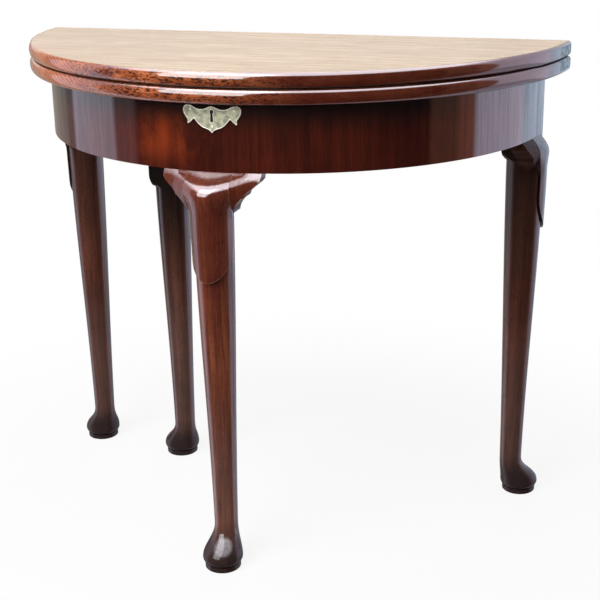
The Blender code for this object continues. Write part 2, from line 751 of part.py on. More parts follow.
def foot_rows():
    """Rows (height, centre, radius) of the pad foot, from the floor up to the ankle."""
    rows = [(0.0, PAD_REACH, DISC_RADIUS - DISC_CHAMFER), (DISC_CHAMFER, PAD_REACH, DISC_RADIUS),
            (DISC_HEIGHT, PAD_REACH, DISC_RADIUS), (DISC_HEIGHT + DISC_CHAMFER, PAD_REACH, PAD_UNDERCUT_RADIUS)]
    for i in range(PAD_ROWS + 1):
        share = i / PAD_ROWS
        radius = PAD_UNDERCUT_RADIUS + (PAD_RADIUS - PAD_UNDERCUT_RADIUS) * quarter(share)
        rows.append((PAD_UNDERCUT_HEIGHT + (PAD_HEIGHT - PAD_UNDERCUT_HEIGHT) * share, PAD_REACH, radius))
    for i in range(1, FOOT_ROWS):
        up = i / FOOT_ROWS
        share = ease((1 - up) ** FLARE_POWER)
        centre = -ANKLE_DRIFT + (PAD_REACH + ANKLE_DRIFT) * share
        radius = ANKLE_RADIUS + (PAD_RADIUS - ANKLE_RADIUS) * share
        rows.append((PAD_HEIGHT + (ANKLE_HEIGHT - PAD_HEIGHT) * up, centre, radius))
    return rows


def leg_loop(middle, toe, height, drift, radius_at):
    """Loop of points round a leg, its radius given as a function of the world angle."""
    x = middle.x + drift * math.cos(toe)
    y = middle.y + drift * math.sin(toe)
    loop = []
    for i in range(LEG_STEPS):
        angle = 2 * math.pi * i / LEG_STEPS
        radius = radius_at(angle)
        loop.append(Vector((x + radius * math.cos(angle), y + radius * math.sin(angle), height)))
    return loop


def turned_rows(plan, toe, top):
    """Loops of a round tapering leg and its pad foot, up to a height."""
    rows = foot_rows()
    for i in range(LEG_ROWS + 1):
        height = ANKLE_HEIGHT + (top - ANKLE_HEIGHT) * i / LEG_ROWS
        rows.append((height, leg_drift(height), leg_radius(height)))
    middle = world(plan, 0.0)
    return [leg_loop(middle, toe, height, drift, lambda angle, r=radius: r) for height, drift, radius in rows]


def round_leg(name, plan, toe, top, material):
    """Tapering round leg with its pad foot turned towards the toe."""
    loops = turned_rows(plan, toe, TAPER_START_HEIGHT)
    loops.append(leg_loop(world(plan, 0.0), toe, top, 0.0, lambda angle: LEG_TOP_RADIUS))
    return loft(name, loops, material)


def hill(offset):
    """Share of the knee's full form at an offset sideways, 1 in the middle and 0 at the ears' ends."""
    return math.cos(math.pi / 2 * min(abs(offset) / BULGE_HALF_WIDTH, 1.0)) ** 2


def swell(drop, offset):
    """Roll of a knee out from under the frieze, 0 at the frieze and 1 at full bulge."""
    roll = EAR_ROLL + (KNEE_ROLL - EAR_ROLL) * hill(offset)
    return math.sin(math.pi / 2 * min(drop / roll, 1.0))


def frieze_face(offset):
    """How far the frieze stands outward of an end leg's axis, at an offset towards the back."""
    depth = END_LEG_DEPTH - offset
    return width_at_depth(FRIEZE_RADIUS, FRIEZE_CENTRE_BEHIND, depth) - END_LEG_X


def front_face(offset):
    """How far the frieze stands forward of the front leg's axis, at an offset sideways."""
    return math.sqrt(FRIEZE_RADIUS ** 2 - offset ** 2) - FRIEZE_CENTRE_BEHIND - FRONT_LEG_DEPTH


def front_bulge(offset, drop):
    """Front face of the front knee and its ears at a drop below the frieze."""
    bulge = EAR_BULGE + (FRONT_KNEE_BULGE - EAR_BULGE) * hill(offset)
    return front_face(offset) + swell(drop, offset) * bulge


def side_bulge(offset, drop):
    """Outer face of an end knee and its front ear."""
    bulge = EAR_BULGE + (SIDE_KNEE_BULGE - EAR_BULGE) * hill(offset)
    return frieze_face(offset) + swell(drop, offset) * bulge


def front_shoulder(u, drop):
    """Point (toe-ward, sideways) on the outside of the front knee, u from -1 to 1."""
    side = u * KNEE_HALF_WIDTH
    return front_bulge(side, drop), side


def front_shoulder_back(u):
    """Point on the flat back of the front knee block."""
    return -KNEE_BACK, u * KNEE_HALF_WIDTH


def end_shoulder(u, drop):
    """Point (outward, backward) on the outside of an end knee, u from -1 to 1."""
    back_face = END_LEG_DEPTH - STILE_BACK + swell(drop, 0.0) * BACK_KNEE_BULGE
    if u < -1 / 3:
        offset = KNEE_HALF_WIDTH * (3 * u + 1) / 2
        return side_bulge(offset, drop), offset
    if u > 1 / 3:
        return -KNEE_HALF_WIDTH * (3 * u - 1) / 2, back_face
    angle = math.pi / 2 * (3 * u + 1) / 2
    power = 2 / KNEE_CORNER_POWER
    return side_bulge(0.0, drop) * math.cos(angle) ** power, back_face * math.sin(angle) ** power


def end_shoulder_back(u):
    """Point on the two flat inner sides of an end knee block."""
    if u < 0:
        return -KNEE_BACK, -KNEE_BACK + (KNEE_HALF_WIDTH - KNEE_BACK) * u
    return -KNEE_BACK - (KNEE_HALF_WIDTH - KNEE_BACK) * u, -KNEE_BACK


def lappet_angle(drop):
    """Half angle that the lappet wraps around the leg."""
    share = (drop - LAPPET_STRAIGHT_END) / (LAPPET_TIP - LAPPET_STRAIGHT_END)
    if share <= 0:
        return LAPPET_HALF_ANGLE
    tongue = (1 - min(share, 1.0) ** 2) ** LAPPET_TONGUE_POWER
    return LAPPET_TIP_ANGLE + (LAPPET_HALF_ANGLE - LAPPET_TIP_ANGLE) * tongue


def lappet_ring(u, drop):
    """Outer and inner point (toe-ward, sideways) of the lappet that lies on the round leg."""
    height = FRIEZE_BOTTOM - drop
    angle = u * lappet_angle(drop)
    proud = LAPPET_EDGE + (LAPPET_MIDDLE - LAPPET_EDGE) * math.cos(angle) ** 2
    outer = leg_radius(height) + proud
    inner = leg_radius(height) - LAPPET_ROOT
    drift = leg_drift(height)
    return ((drift + outer * math.cos(angle), outer * math.sin(angle)),
            (drift + inner * math.cos(angle), inner * math.sin(angle)))


def knee_drops():
    """Heights of the knee rows, measured down from the frieze."""
    upper = [KNEE_BLEND_END * (i / KNEE_UPPER_ROWS) ** KNEE_ROW_POWER for i in range(KNEE_UPPER_ROWS + 1)]
    lower = [KNEE_BLEND_END + (LAPPET_TIP - KNEE_BLEND_END) * math.sin(math.pi / 2 * i / KNEE_LOWER_ROWS)
             for i in range(1, KNEE_LOWER_ROWS + 1)]
    return upper + lower


def knee(plan, toe, shoulder, shoulder_back, place):
    """Knee block that rolls out under the frieze and runs down into the lappet."""
    rows = []
    for drop in knee_drops():
        blend = ease((drop - KNEE_BLEND_START) / (KNEE_BLEND_END - KNEE_BLEND_START))
        outside = []
        inside = []
        for i in range(KNEE_STEPS + 1):
            u = 2 * i / KNEE_STEPS - 1
            outer, inner = lappet_ring(u, drop)
            top_outer = place(shoulder(u, drop))
            top_inner = place(shoulder_back(u))
            ring_outer = turned(outer, toe)
            ring_inner = turned(inner, toe)
            outside.append(top_outer.lerp(ring_outer, blend))
            inside.append(top_inner.lerp(ring_inner, blend))
        centre = world(plan, LEG_TOP - drop)
        rows.append([centre + point for point in outside + list(reversed(inside))])
    return loft("knee", rows)


def turned(local, toe):
    """World offset of a point (toe-ward, sideways) on a leg with a given toe direction."""
    ahead, side = local
    return Vector((ahead * math.cos(toe) - side * math.sin(toe), ahead * math.sin(toe) + side * math.cos(toe), 0.0))


def front_leg(material):
    """Front leg with its short stile, knee and lappet."""
    plan = (0.0, FRONT_LEG_DEPTH)
    item = round_leg("leg_front", plan, FRONT_TOE, LEG_TOP - KNEE_BLEND_START, material)
    half = FRONT_STILE_HALF_WIDTH
    stile = box("stile", (-half, half), (FRONT_STILE_BACK, FRONT_STILE_FRONT),
                (LEG_TOP - STILE_ROOT, FRONT_STILE_TOP))
    shape = knee(plan, FRONT_TOE, front_shoulder, front_shoulder_back, lambda p: turned(p, FRONT_TOE))
    join(item, shape, stile)
    return settle(item, world(plan, 0.0), True)


def lid_hinge_notch(side):
    """Cutters in the top of a stile for the barrel and the leaf of its butt hinge."""
    edge = LID_HINGE_HALF_WIDTH + GAP
    span = (side * LID_HINGE_X - edge, side * LID_HINGE_X + edge)
    pin_z = LID_UNDERSIDE - LID_PIN_DROP
    barrel = LID_BARREL_RADIUS + RUNNING_GAP
    leaf_low = FRIEZE_TOP - LID_HINGE_LEAF - GAP
    return [box("notch", span, (-OVERRUN, barrel), (pin_z - barrel, FRIEZE_TOP + OVERRUN)),
            box("notch", span, (0.0, LID_HINGE_DEPTH + GAP), (leaf_low, FRIEZE_TOP + OVERRUN))]


def end_leg(name, side, toe, material):
    """End leg, its square stile standing up behind the end of the frieze."""
    plan = (side * END_LEG_X, END_LEG_DEPTH)
    item = round_leg(name, plan, toe, LEG_TOP - KNEE_BLEND_START, material)
    start = angle_at_depth(FRIEZE_RADIUS, FRIEZE_CENTRE_BEHIND, STILE_BACK)
    stop = angle_at_depth(FRIEZE_RADIUS, FRIEZE_CENTRE_BEHIND, STILE_FRONT)
    outer = arc_points(FRIEZE_RADIUS, FRIEZE_CENTRE_BEHIND, start, stop, ROUND_STEPS)
    outline = [(STILE_INNER_X, STILE_FRONT), (STILE_INNER_X, STILE_BACK), *outer]
    stile = prism("stile", [(side * x, depth) for x, depth in outline], LEG_TOP - STILE_ROOT, FRIEZE_TOP)
    cut(stile, *lid_hinge_notch(side))
    place = (lambda p: Vector((side * p[0], p[1], 0.0)))
    ring_side = side if toe == RIGHT_TOE else -side
    shape = knee(plan, toe, lambda u, drop: end_shoulder(ring_side * side * u, drop),
                 lambda u: end_shoulder_back(ring_side * side * u), place)
    join(item, shape, stile)
    return settle(item, world(plan, 0.0), True)


def square_radius(angle):
    """Reach of the square block of the gate leg at an angle from its axis."""
    return GATE_BLOCK_WIDTH / 2 / max(abs(math.cos(angle)), abs(math.sin(angle)))


def gate_leg(material):
    """Swinging leg, square at the top and turned below, with a stile for the fly rail."""
    plan = (GATE_LEG_X, GATE_LEG_DEPTH)
    middle = world(plan, 0.0)
    loops = turned_rows(plan, LEFT_TOE, GATE_SHOULDER_HEIGHT)
    for i in range(1, SHOULDER_ROWS + 1):
        share = i / SHOULDER_ROWS
        dome = LEG_TOP_RADIUS + (GATE_SHOULDER_RADIUS - LEG_TOP_RADIUS) * quarter(share)
        height = GATE_SHOULDER_HEIGHT + GATE_SHOULDER_RISE * share
        loops.append(leg_loop(middle, LEFT_TOE, height, 0.0, lambda angle, r=dome: min(r, square_radius(angle))))
    loops.append(leg_loop(middle, LEFT_TOE, LEG_TOP - RUNNING_GAP, 0.0, square_radius))
    item = loft("gate_leg", loops, material)
    half = GATE_BLOCK_WIDTH / 2 - GAP
    depths = (GATE_LEG_DEPTH - half, OUTER_RAIL_FRONT)
    stile = box("stile", (GATE_LEG_X - half, GATE_LEG_X + half), depths, (LEG_TOP - STILE_ROOT, FRIEZE_TOP - GAP))
    join(item, stile)
    return settle(item, world(plan, 0.0), True)


def ear_width(drop):
    """Half width of a knee with its ears, from the leg's axis to the scrolled edge."""
    if drop <= EAR_END_HEIGHT:
        return EAR_TIP
    if drop <= EAR_CUSP_DEPTH:
        share = (drop - EAR_END_HEIGHT) / (EAR_CUSP_DEPTH - EAR_END_HEIGHT)
        return EAR_CUSP + (EAR_TIP - EAR_CUSP) * (1 - ease(share))
    share = (drop - EAR_CUSP_DEPTH) / (EAR_FOOT_DEPTH - EAR_CUSP_DEPTH)
    start = EAR_CUSP - EAR_CUSP_STEP
    return EAR_FOOT + (start - EAR_FOOT) * (1 - math.sin(math.pi / 2 * min(share, 1.0)))


def ear_drops():
    """Heights of the ear rows, with a pair at the cusp."""
    upper = [EAR_CUSP_DEPTH * i / EAR_ROWS for i in range(EAR_ROWS + 1)]
    lower = [EAR_CUSP_DEPTH + (EAR_FOOT_DEPTH - EAR_CUSP_DEPTH) * (i / EAR_ROWS) for i in range(1, EAR_ROWS + 1)]
    return upper + [EAR_CUSP_DEPTH + EAR_CUSP_HEIGHT] + lower


def ear_face(bulge, offset, drop):
    """Outer face of an ear, drawing back below the cusp to meet the knee."""
    blend = ease((drop - KNEE_BLEND_START) / (KNEE_BLEND_END - KNEE_BLEND_START))
    lower = (leg_radius(FRIEZE_BOTTOM - drop) + LAPPET_EDGE) * math.cos(LAPPET_HALF_ANGLE)
    return bulge(offset, drop) * (1 - blend) + lower * blend


def ear(name, bulge, place, back, origin, material):
    """Scrolled bracket glued beside a knee, under the frieze."""
    start = KNEE_HALF_WIDTH + GAP
    rows = []
    for drop in ear_drops():
        span = ear_width(drop) - start
        offsets = [start + span * i / EAR_STEPS for i in range(EAR_STEPS + 1)]
        outside = [place(ear_face(bulge, -offset, drop), offset) for offset in offsets]
        inside = [place(bulge(-offset, 0.0) - back, offset) for offset in reversed(offsets)]
        rows.append([world(origin, LEG_TOP - drop) + point for point in outside + inside])
    item = loft(name, rows, material)
    return settle(item, world(origin, LEG_TOP), True)


def rear_ear(name, side, material):
    """Small bracket between an end leg and the rail behind the well."""
    start = END_LEG_X - KNEE_HALF_WIDTH - GAP
    reach = REAR_EAR_TIP - KNEE_HALF_WIDTH
    rows = []
    for i in range(EAR_ROWS + 1):
        share = i / EAR_ROWS
        width = reach - (reach - REAR_EAR_END) * quarter(share)
        height = LEG_TOP - REAR_EAR_DEPTH * share
        corners = [(start, REAR_EAR_BACK), (start, REAR_EAR_FRONT),
                   (start - width, REAR_EAR_FRONT), (start - width, REAR_EAR_BACK)]
        rows.append([world((side * x, depth), height) for x, depth in corners])
    item = loft(name, rows, material)
    return settle(item, world((side * start, REAR_EAR_BACK), LEG_TOP), True)


def ears(material):
    """Six brackets beside the knees of the three fixed legs."""
    for side, word in ((-1, "left"), (1, "right")):
        ear(f"ear_front_{word}", front_bulge, lambda out, along, s=side: Vector((s * along, -out, 0.0)),
            EAR_BACK_DEPTH, (0.0, FRONT_LEG_DEPTH), material)
        ear(f"ear_{word}_front", side_bulge, lambda out, along, s=side: Vector((s * out, -along, 0.0)),
            EAR_BACK_DEPTH, (side * END_LEG_X, END_LEG_DEPTH), material)
        rear_ear(f"ear_{word}_back", side, material)


def bottom_board(material):
    """Floor of the well, lying between the frieze and the inner rail."""
    radius = FRIEZE_RADIUS - CORE_INNER_INSET - GAP
    limit = angle_at_depth(radius, FRIEZE_CENTRE_BEHIND, INNER_RAIL_FRONT + GAP)
    plan = arc_points(radius, FRIEZE_CENTRE_BEHIND, -limit, limit, 2 * FRIEZE_STEPS)
    low = FRIEZE_BOTTOM + BOTTOM_BOARD_RISE
    item = prism("bottom_board", plan, low, low + BOTTOM_BOARD_THICKNESS, material)
    return settle(item, world((0.0, INNER_RAIL_FRONT), low))


def glue_blocks(material):
    """Blocks under the bottom board, glued inside the frieze."""
    high = FRIEZE_BOTTOM + BOTTOM_BOARD_RISE - GAP
    low = high - GLUE_BLOCK_HEIGHT
    for number, angle in enumerate(GLUE_BLOCK_ANGLES, start=1):
        reach = FRIEZE_RADIUS - CORE_INNER_INSET - GAP
        swing = GLUE_BLOCK_LENGTH / 2 / reach
        outer = [on_arc(reach, FRIEZE_CENTRE_BEHIND, angle + turn) for turn in (-swing, 0.0, swing)]
        inner = [on_arc(reach - GLUE_BLOCK_WIDTH, FRIEZE_CENTRE_BEHIND, angle + turn) for turn in (swing, -swing)]
        item = prism(f"glue_block_{number}", outer + inner, low, high, material)
        settle(item, world(outer[1], low))


def spline(corners, steps):
    """Rounded line through corner points, each run eased between its ends."""
    points = []
    for first, last in zip(corners, corners[1:]):
        for i in range(steps):
            share = i / steps
            points.append((first[0] + (last[0] - first[0]) * share,
                           first[1] + (last[1] - first[1]) * ease(share)))
    points.append(corners[-1])
    return points


def escutcheon_outline():
    """Bat-wing outline (x, height) of the escutcheon."""
    half = [(0.0, ESCUTCHEON_DROP), (ESCUTCHEON_BELLY_X, ESCUTCHEON_BELLY_DROP),
            (ESCUTCHEON_NOTCH_X, ESCUTCHEON_NOTCH_DROP), (ESCUTCHEON_HIP_X, ESCUTCHEON_HIP_DROP),
            (ESCUTCHEON_HALF_WIDTH, ESCUTCHEON_LOBE_DROP), (ESCUTCHEON_HIP_X, ESCUTCHEON_SHOULDER_DROP),
            (ESCUTCHEON_NOTCH_X, ESCUTCHEON_SHOULDER_DROP + ESCUTCHEON_TOP),
            (ESCUTCHEON_BELLY_X, ESCUTCHEON_TOP), (0.0, 0.0)]
    right = spline(half, ESCUTCHEON_STEPS)
    top = FRIEZE_TOP - ESCUTCHEON_TOP
    loop = right + [(-x, drop) for x, drop in reversed(right[1:-1])]
    return [(LOCK_X + x, top - drop) for x, drop in loop]


def keyhole_tail(name):
    """Cutter for the narrow lower part of the keyhole."""
    span = (LOCK_X - KEYHOLE_TAIL_HALF_WIDTH, LOCK_X + KEYHOLE_TAIL_HALF_WIDTH)
    return box(name, span, (LOCK_FRONT, FRIEZE_DEPTH + OVERRUN), (KEYHOLE_Z - KEYHOLE_TAIL, KEYHOLE_Z))


def escutcheon(material):
    """Curved brass plate round the keyhole."""
    swing = (ESCUTCHEON_HALF_WIDTH + LOCK_X + OVERRUN) / FRIEZE_RADIUS
    outer = arc_points(FRIEZE_RADIUS + GAP + ESCUTCHEON_THICKNESS, FRIEZE_CENTRE_BEHIND, -swing, swing, FRIEZE_STEPS)
    inner = arc_points(FRIEZE_RADIUS + GAP, FRIEZE_CENTRE_BEHIND, -swing, swing, FRIEZE_STEPS)
    item = prism("escutcheon", outer + list(reversed(inner)), FRIEZE_BOTTOM, FRIEZE_TOP, material)
    depths = (FRIEZE_DEPTH - 2 * OVERRUN, FRIEZE_DEPTH + 2 * OVERRUN)
    rows = [[Vector((x, BACK_Y - depth, z)) for x, z in escutcheon_outline()] for depth in depths]
    combine(item, [loft("outline", rows)], "INTERSECT")
    cut(item, keyhole_rod("keyhole"), keyhole_tail("tail"))
    return settle(item, world((LOCK_X, FRIEZE_DEPTH), KEYHOLE_Z), True)


def staple_x(number):
    """Middle of a staple along the link plate."""
    return LOCK_X + (number - 0.5) * STAPLE_SPACING


def lock_case(material):
    """Iron box of the lock, open at the back for its cap."""
    half = LOCK_WIDTH / 2
    low = LOCK_TOP - LOCK_HEIGHT
    back = LOCK_BACK + LOCK_CAP_THICKNESS + GAP
    item = box("lock_case", (LOCK_X - half, LOCK_X + half), (back, LOCK_FRONT), (low, LOCK_TOP), material)
    hollow = box("hollow", (LOCK_X - half + LOCK_WALL, LOCK_X + half - LOCK_WALL),
                 (back - OVERRUN, LOCK_FRONT - LOCK_WALL), (low + LOCK_WALL, LOCK_TOP - LOCK_WALL))
    slots = []
    for number in (0, 1):
        edge = STAPLE_THICKNESS / 2 + 2 * GAP
        span = (staple_x(number) - edge, staple_x(number) + edge)
        depth = STAPLE_HALF_DEPTH + 2 * GAP
        slots.append(box("slot", span, (LOCK_MIDDLE - depth, LOCK_MIDDLE + depth),
                         (LOCK_TOP - 2 * LOCK_WALL, LOCK_TOP + OVERRUN)))
    cut(item, hollow, *slots, keyhole_rod("keyhole"))
    return settle(item, world((LOCK_X, LOCK_FRONT), low))


def lock_cap(material):
    """Back plate of the lock."""
    half = LOCK_WIDTH / 2
    item = box("lock_cap", (LOCK_X - half, LOCK_X + half), (LOCK_BACK, LOCK_BACK + LOCK_CAP_THICKNESS),
               (LOCK_TOP - LOCK_HEIGHT, LOCK_TOP), material)
    return settle(item, world((LOCK_X, LOCK_BACK), LOCK_TOP - LOCK_HEIGHT))


def lock_bolt(material):
    """Sliding bolt with two noses that pass through the staples."""
    depths = (LOCK_MIDDLE - BOLT_HALF_DEPTH, LOCK_MIDDLE + BOLT_HALF_DEPTH)
    first_nose = staple_x(0) - STAPLE_THICKNESS / 2 - BOLT_START_GAP
    last_nose = staple_x(1) - STAPLE_THICKNESS / 2 - BOLT_START_GAP
    left = first_nose - BOLT_NOSE_LENGTH - BOLT_POST_WIDTH
    low = LID_UNDERSIDE - BOLT_BAR_LOW
    item = box("lock_bolt", (left, last_nose), depths, (low, low + BOLT_BAR_HEIGHT), material)
    parts = []
    for nose in (first_nose, last_nose):
        root = nose - BOLT_NOSE_LENGTH
        parts.append(box("post", (root - BOLT_POST_WIDTH, root), depths,
                         (low + BOLT_BAR_HEIGHT / 2, LID_UNDERSIDE - BOLT_NOSE_HIGH)))
        parts.append(box("nose", (root - BOLT_POST_WIDTH / 2, nose), depths,
                         (LID_UNDERSIDE - BOLT_NOSE_LOW, LID_UNDERSIDE - BOLT_NOSE_HIGH)))
    join(item, *parts)
    return settle(item, world((LOCK_X, LOCK_MIDDLE), low))


def link_plate(material):
    """Brass plate under the lid with two staples for the bolt."""
    span = (LOCK_X - LINK_PLATE_HALF_LENGTH, LOCK_X + LINK_PLATE_HALF_LENGTH)
    width = LINK_PLATE_HALF_WIDTH
    item = box("link_plate", span, (LOCK_MIDDLE - width, LOCK_MIDDLE + width),
               (LID_UNDERSIDE, LID_UNDERSIDE + LINK_PLATE_THICKNESS), material)
    staples = []
    eyes = []
    for number in (0, 1):
        half = STAPLE_THICKNESS / 2
        x_span = (staple_x(number) - half, staple_x(number) + half)
        depth = STAPLE_HALF_DEPTH
        staples.append(box("staple", x_span, (LOCK_MIDDLE - depth, LOCK_MIDDLE + depth),
                           (LID_UNDERSIDE - STAPLE_DROP, LID_UNDERSIDE + LINK_PLATE_THICKNESS / 2)))
        eye = STAPLE_EYE_HALF_WIDTH
        eyes.append(box("eye", (x_span[0] - OVERRUN, x_span[1] + OVERRUN),
                        (LOCK_MIDDLE - eye, LOCK_MIDDLE + eye),
                        (LID_UNDERSIDE - STAPLE_EYE_LOW, LID_UNDERSIDE - STAPLE_EYE_HIGH)))
    join(item, *staples)
    cut(item, *eyes)
    return settle(item, world((LOCK_X, LOCK_MIDDLE), LID_UNDERSIDE))


def lid_hinge_x(side, share_low, share_high):
    """Span of one knuckle along a lid hinge."""
    width = 2 * LID_HINGE_HALF_WIDTH
    left = side * LID_HINGE_X - LID_HINGE_HALF_WIDTH
    return left + width * share_low, left + width * share_high


def lid_barrel(side, share_low, share_high, bore=False):
    """Round knuckle of a lid hinge, or the bore through it."""
    start, stop = lid_hinge_x(side, share_low, share_high)
    radius = LID_PIN_RADIUS + GAP if bore else LID_BARREL_RADIUS
    reach = OVERRUN if bore else 0.0
    return rod_across("knuckle", 0.0, LID_UNDERSIDE - LID_PIN_DROP, radius, (start - reach, stop + reach))


def lid_hinge(side, word, material):
    """Butt hinge of the lid: leaf on the stile, cranked leaf in the lid, and pin."""
    left, right = lid_hinge_x(side, 0.0, 1.0)
    pin_z = LID_UNDERSIDE - LID_PIN_DROP
    slack = GAP / LID_HINGE_HALF_WIDTH / 2
    low_share, high_share = LID_KNUCKLE_SHARE, 1 - LID_KNUCKLE_SHARE
    fixed = box(f"lid_hinge_fixed_{word}", (left, right), (LID_BARREL_RADIUS / 2, LID_HINGE_DEPTH),
                (FRIEZE_TOP - LID_HINGE_LEAF, FRIEZE_TOP), material)
    middle = lid_hinge_x(side, low_share - slack, high_share + slack)
    reach = LID_BARREL_RADIUS + GAP
    cut(fixed, box("room", middle, (-OVERRUN, reach), (pin_z - reach, FRIEZE_TOP + OVERRUN)))
    join(fixed, lid_barrel(side, 0.0, low_share - slack), lid_barrel(side, high_share + slack, 1.0))
    cut(fixed, lid_barrel(side, 0.0, 1.0, bore=True))
    moving = box(f"lid_hinge_moving_{word}", (left, right), (-LID_CRANK_BACK, LID_HINGE_DEPTH),
                 (LID_UNDERSIDE, LID_UNDERSIDE + LID_HINGE_LEAF), material)
    crank_x = lid_hinge_x(side, low_share + slack, high_share - slack)
    crank = box("crank", crank_x, (-LID_CRANK_BACK, LID_CRANK_FRONT), (pin_z, LID_UNDERSIDE + LID_HINGE_LEAF / 2))
    join(moving, crank, lid_barrel(side, low_share + slack, high_share - slack))
    cut(moving, lid_barrel(side, 0.0, 1.0, bore=True))
    pin = rod_across("pin", 0.0, pin_z, LID_PIN_RADIUS, (left, right))
    pin.name = f"lid_pin_{word}"
    pin.data.materials.append(material)
    for item in (fixed, moving, pin):
        settle(item, Vector((side * LID_HINGE_X, BACK_Y, pin_z)))


def card_table_hinges(material):
    """Two straps and a link in each end of the top."""
    for side, word in ((-1, "left"), (1, "right")):
        strap(f"strap_upper_{word}", side, True, material)
        strap(f"strap_lower_{word}", side, False, material)
        hinge_link(f"hinge_link_{word}", side, material)


def build():
    """Build the whole table."""
    empty_the_scene()
    top_wood = mahogany_top()
    leg_wood = mahogany_leg()
    veneer = mahogany_veneer()
    rail_wood = oak()
    plain_wood = pine()
    hinge_metal = brass()
    plate_metal = aged_brass()
    dark_metal = iron()
    upper_leaf(top_wood)
    lower_leaf(top_wood)
    card_table_hinges(hinge_metal)
    frieze(plain_wood, veneer)
    inner_rail(rail_wood)
    fixed_block(rail_wood)
    gate_rails(rail_wood, dark_metal)
    front_leg(leg_wood)
    end_leg("leg_left", -1, LEFT_TOE, leg_wood)
    end_leg("leg_right", 1, RIGHT_TOE, leg_wood)
    gate_leg(leg_wood)
    ears(leg_wood)
    bottom_board(plain_wood)
    glue_blocks(plain_wood)
    escutcheon(plate_metal)
    lock_case(dark_metal)
    lock_cap(dark_metal)
    lock_bolt(dark_metal)
    link_plate(hinge_metal)
    lid_hinge(-1, "left", hinge_metal)
    lid_hinge(1, "right", hinge_metal)


build()
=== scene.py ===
"""Half-round folding tea table: dressed pieces, finishes, light, floor and camera.

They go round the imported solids. Lengths are in metres, X to the right as seen from the front,
Y towards the straight back, Z up.
"""

import json
import logging
import math
from dataclasses import dataclass, replace
from enum import Enum
from typing import Callable, Sequence

import bmesh
import bpy
from mathutils import Matrix, Vector
from mathutils.bvhtree import BVHTree

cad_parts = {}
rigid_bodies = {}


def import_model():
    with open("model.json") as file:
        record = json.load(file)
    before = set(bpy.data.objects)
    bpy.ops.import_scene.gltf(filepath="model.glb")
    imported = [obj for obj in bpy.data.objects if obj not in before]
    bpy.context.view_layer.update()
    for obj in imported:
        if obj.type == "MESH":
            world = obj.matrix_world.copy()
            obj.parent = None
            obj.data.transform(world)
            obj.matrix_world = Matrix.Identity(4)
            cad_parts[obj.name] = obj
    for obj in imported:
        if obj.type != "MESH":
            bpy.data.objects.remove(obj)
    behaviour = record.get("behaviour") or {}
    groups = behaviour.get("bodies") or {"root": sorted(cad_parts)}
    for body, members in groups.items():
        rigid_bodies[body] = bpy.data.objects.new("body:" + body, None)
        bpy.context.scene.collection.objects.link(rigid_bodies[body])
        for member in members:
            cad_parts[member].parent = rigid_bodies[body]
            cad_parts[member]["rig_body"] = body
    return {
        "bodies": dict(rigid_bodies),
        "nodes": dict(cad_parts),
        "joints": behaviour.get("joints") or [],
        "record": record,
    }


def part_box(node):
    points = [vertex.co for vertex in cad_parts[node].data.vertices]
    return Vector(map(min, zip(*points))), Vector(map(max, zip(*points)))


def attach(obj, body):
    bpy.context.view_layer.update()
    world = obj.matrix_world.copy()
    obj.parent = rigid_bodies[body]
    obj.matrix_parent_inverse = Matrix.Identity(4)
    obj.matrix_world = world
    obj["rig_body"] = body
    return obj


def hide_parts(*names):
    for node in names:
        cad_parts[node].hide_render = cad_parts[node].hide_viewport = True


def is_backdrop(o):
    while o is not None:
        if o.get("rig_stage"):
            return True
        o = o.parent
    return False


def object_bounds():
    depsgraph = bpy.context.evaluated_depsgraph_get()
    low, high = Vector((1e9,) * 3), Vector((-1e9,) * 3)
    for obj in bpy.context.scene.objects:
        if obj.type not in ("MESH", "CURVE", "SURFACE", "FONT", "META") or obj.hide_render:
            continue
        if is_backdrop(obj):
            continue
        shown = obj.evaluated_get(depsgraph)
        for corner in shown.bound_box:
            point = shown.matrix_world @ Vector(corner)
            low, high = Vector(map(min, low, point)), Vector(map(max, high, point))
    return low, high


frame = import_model()

log = logging.getLogger("tea_table")
MM = 0.001
BACK_Y = 0.1976538  # plane of the table's straight back
SEAM_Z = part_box("upper_leaf")[0].z  # height where the closed leaves meet

Node = bpy.types.Node
Socket = bpy.types.NodeSocket
Material = bpy.types.Material
Object = bpy.types.Object
BMesh = bmesh.types.BMesh
Pair = tuple[float, float]
Triple = tuple[float, float, float]
Masks = dict[str, Socket]


# Shader trees


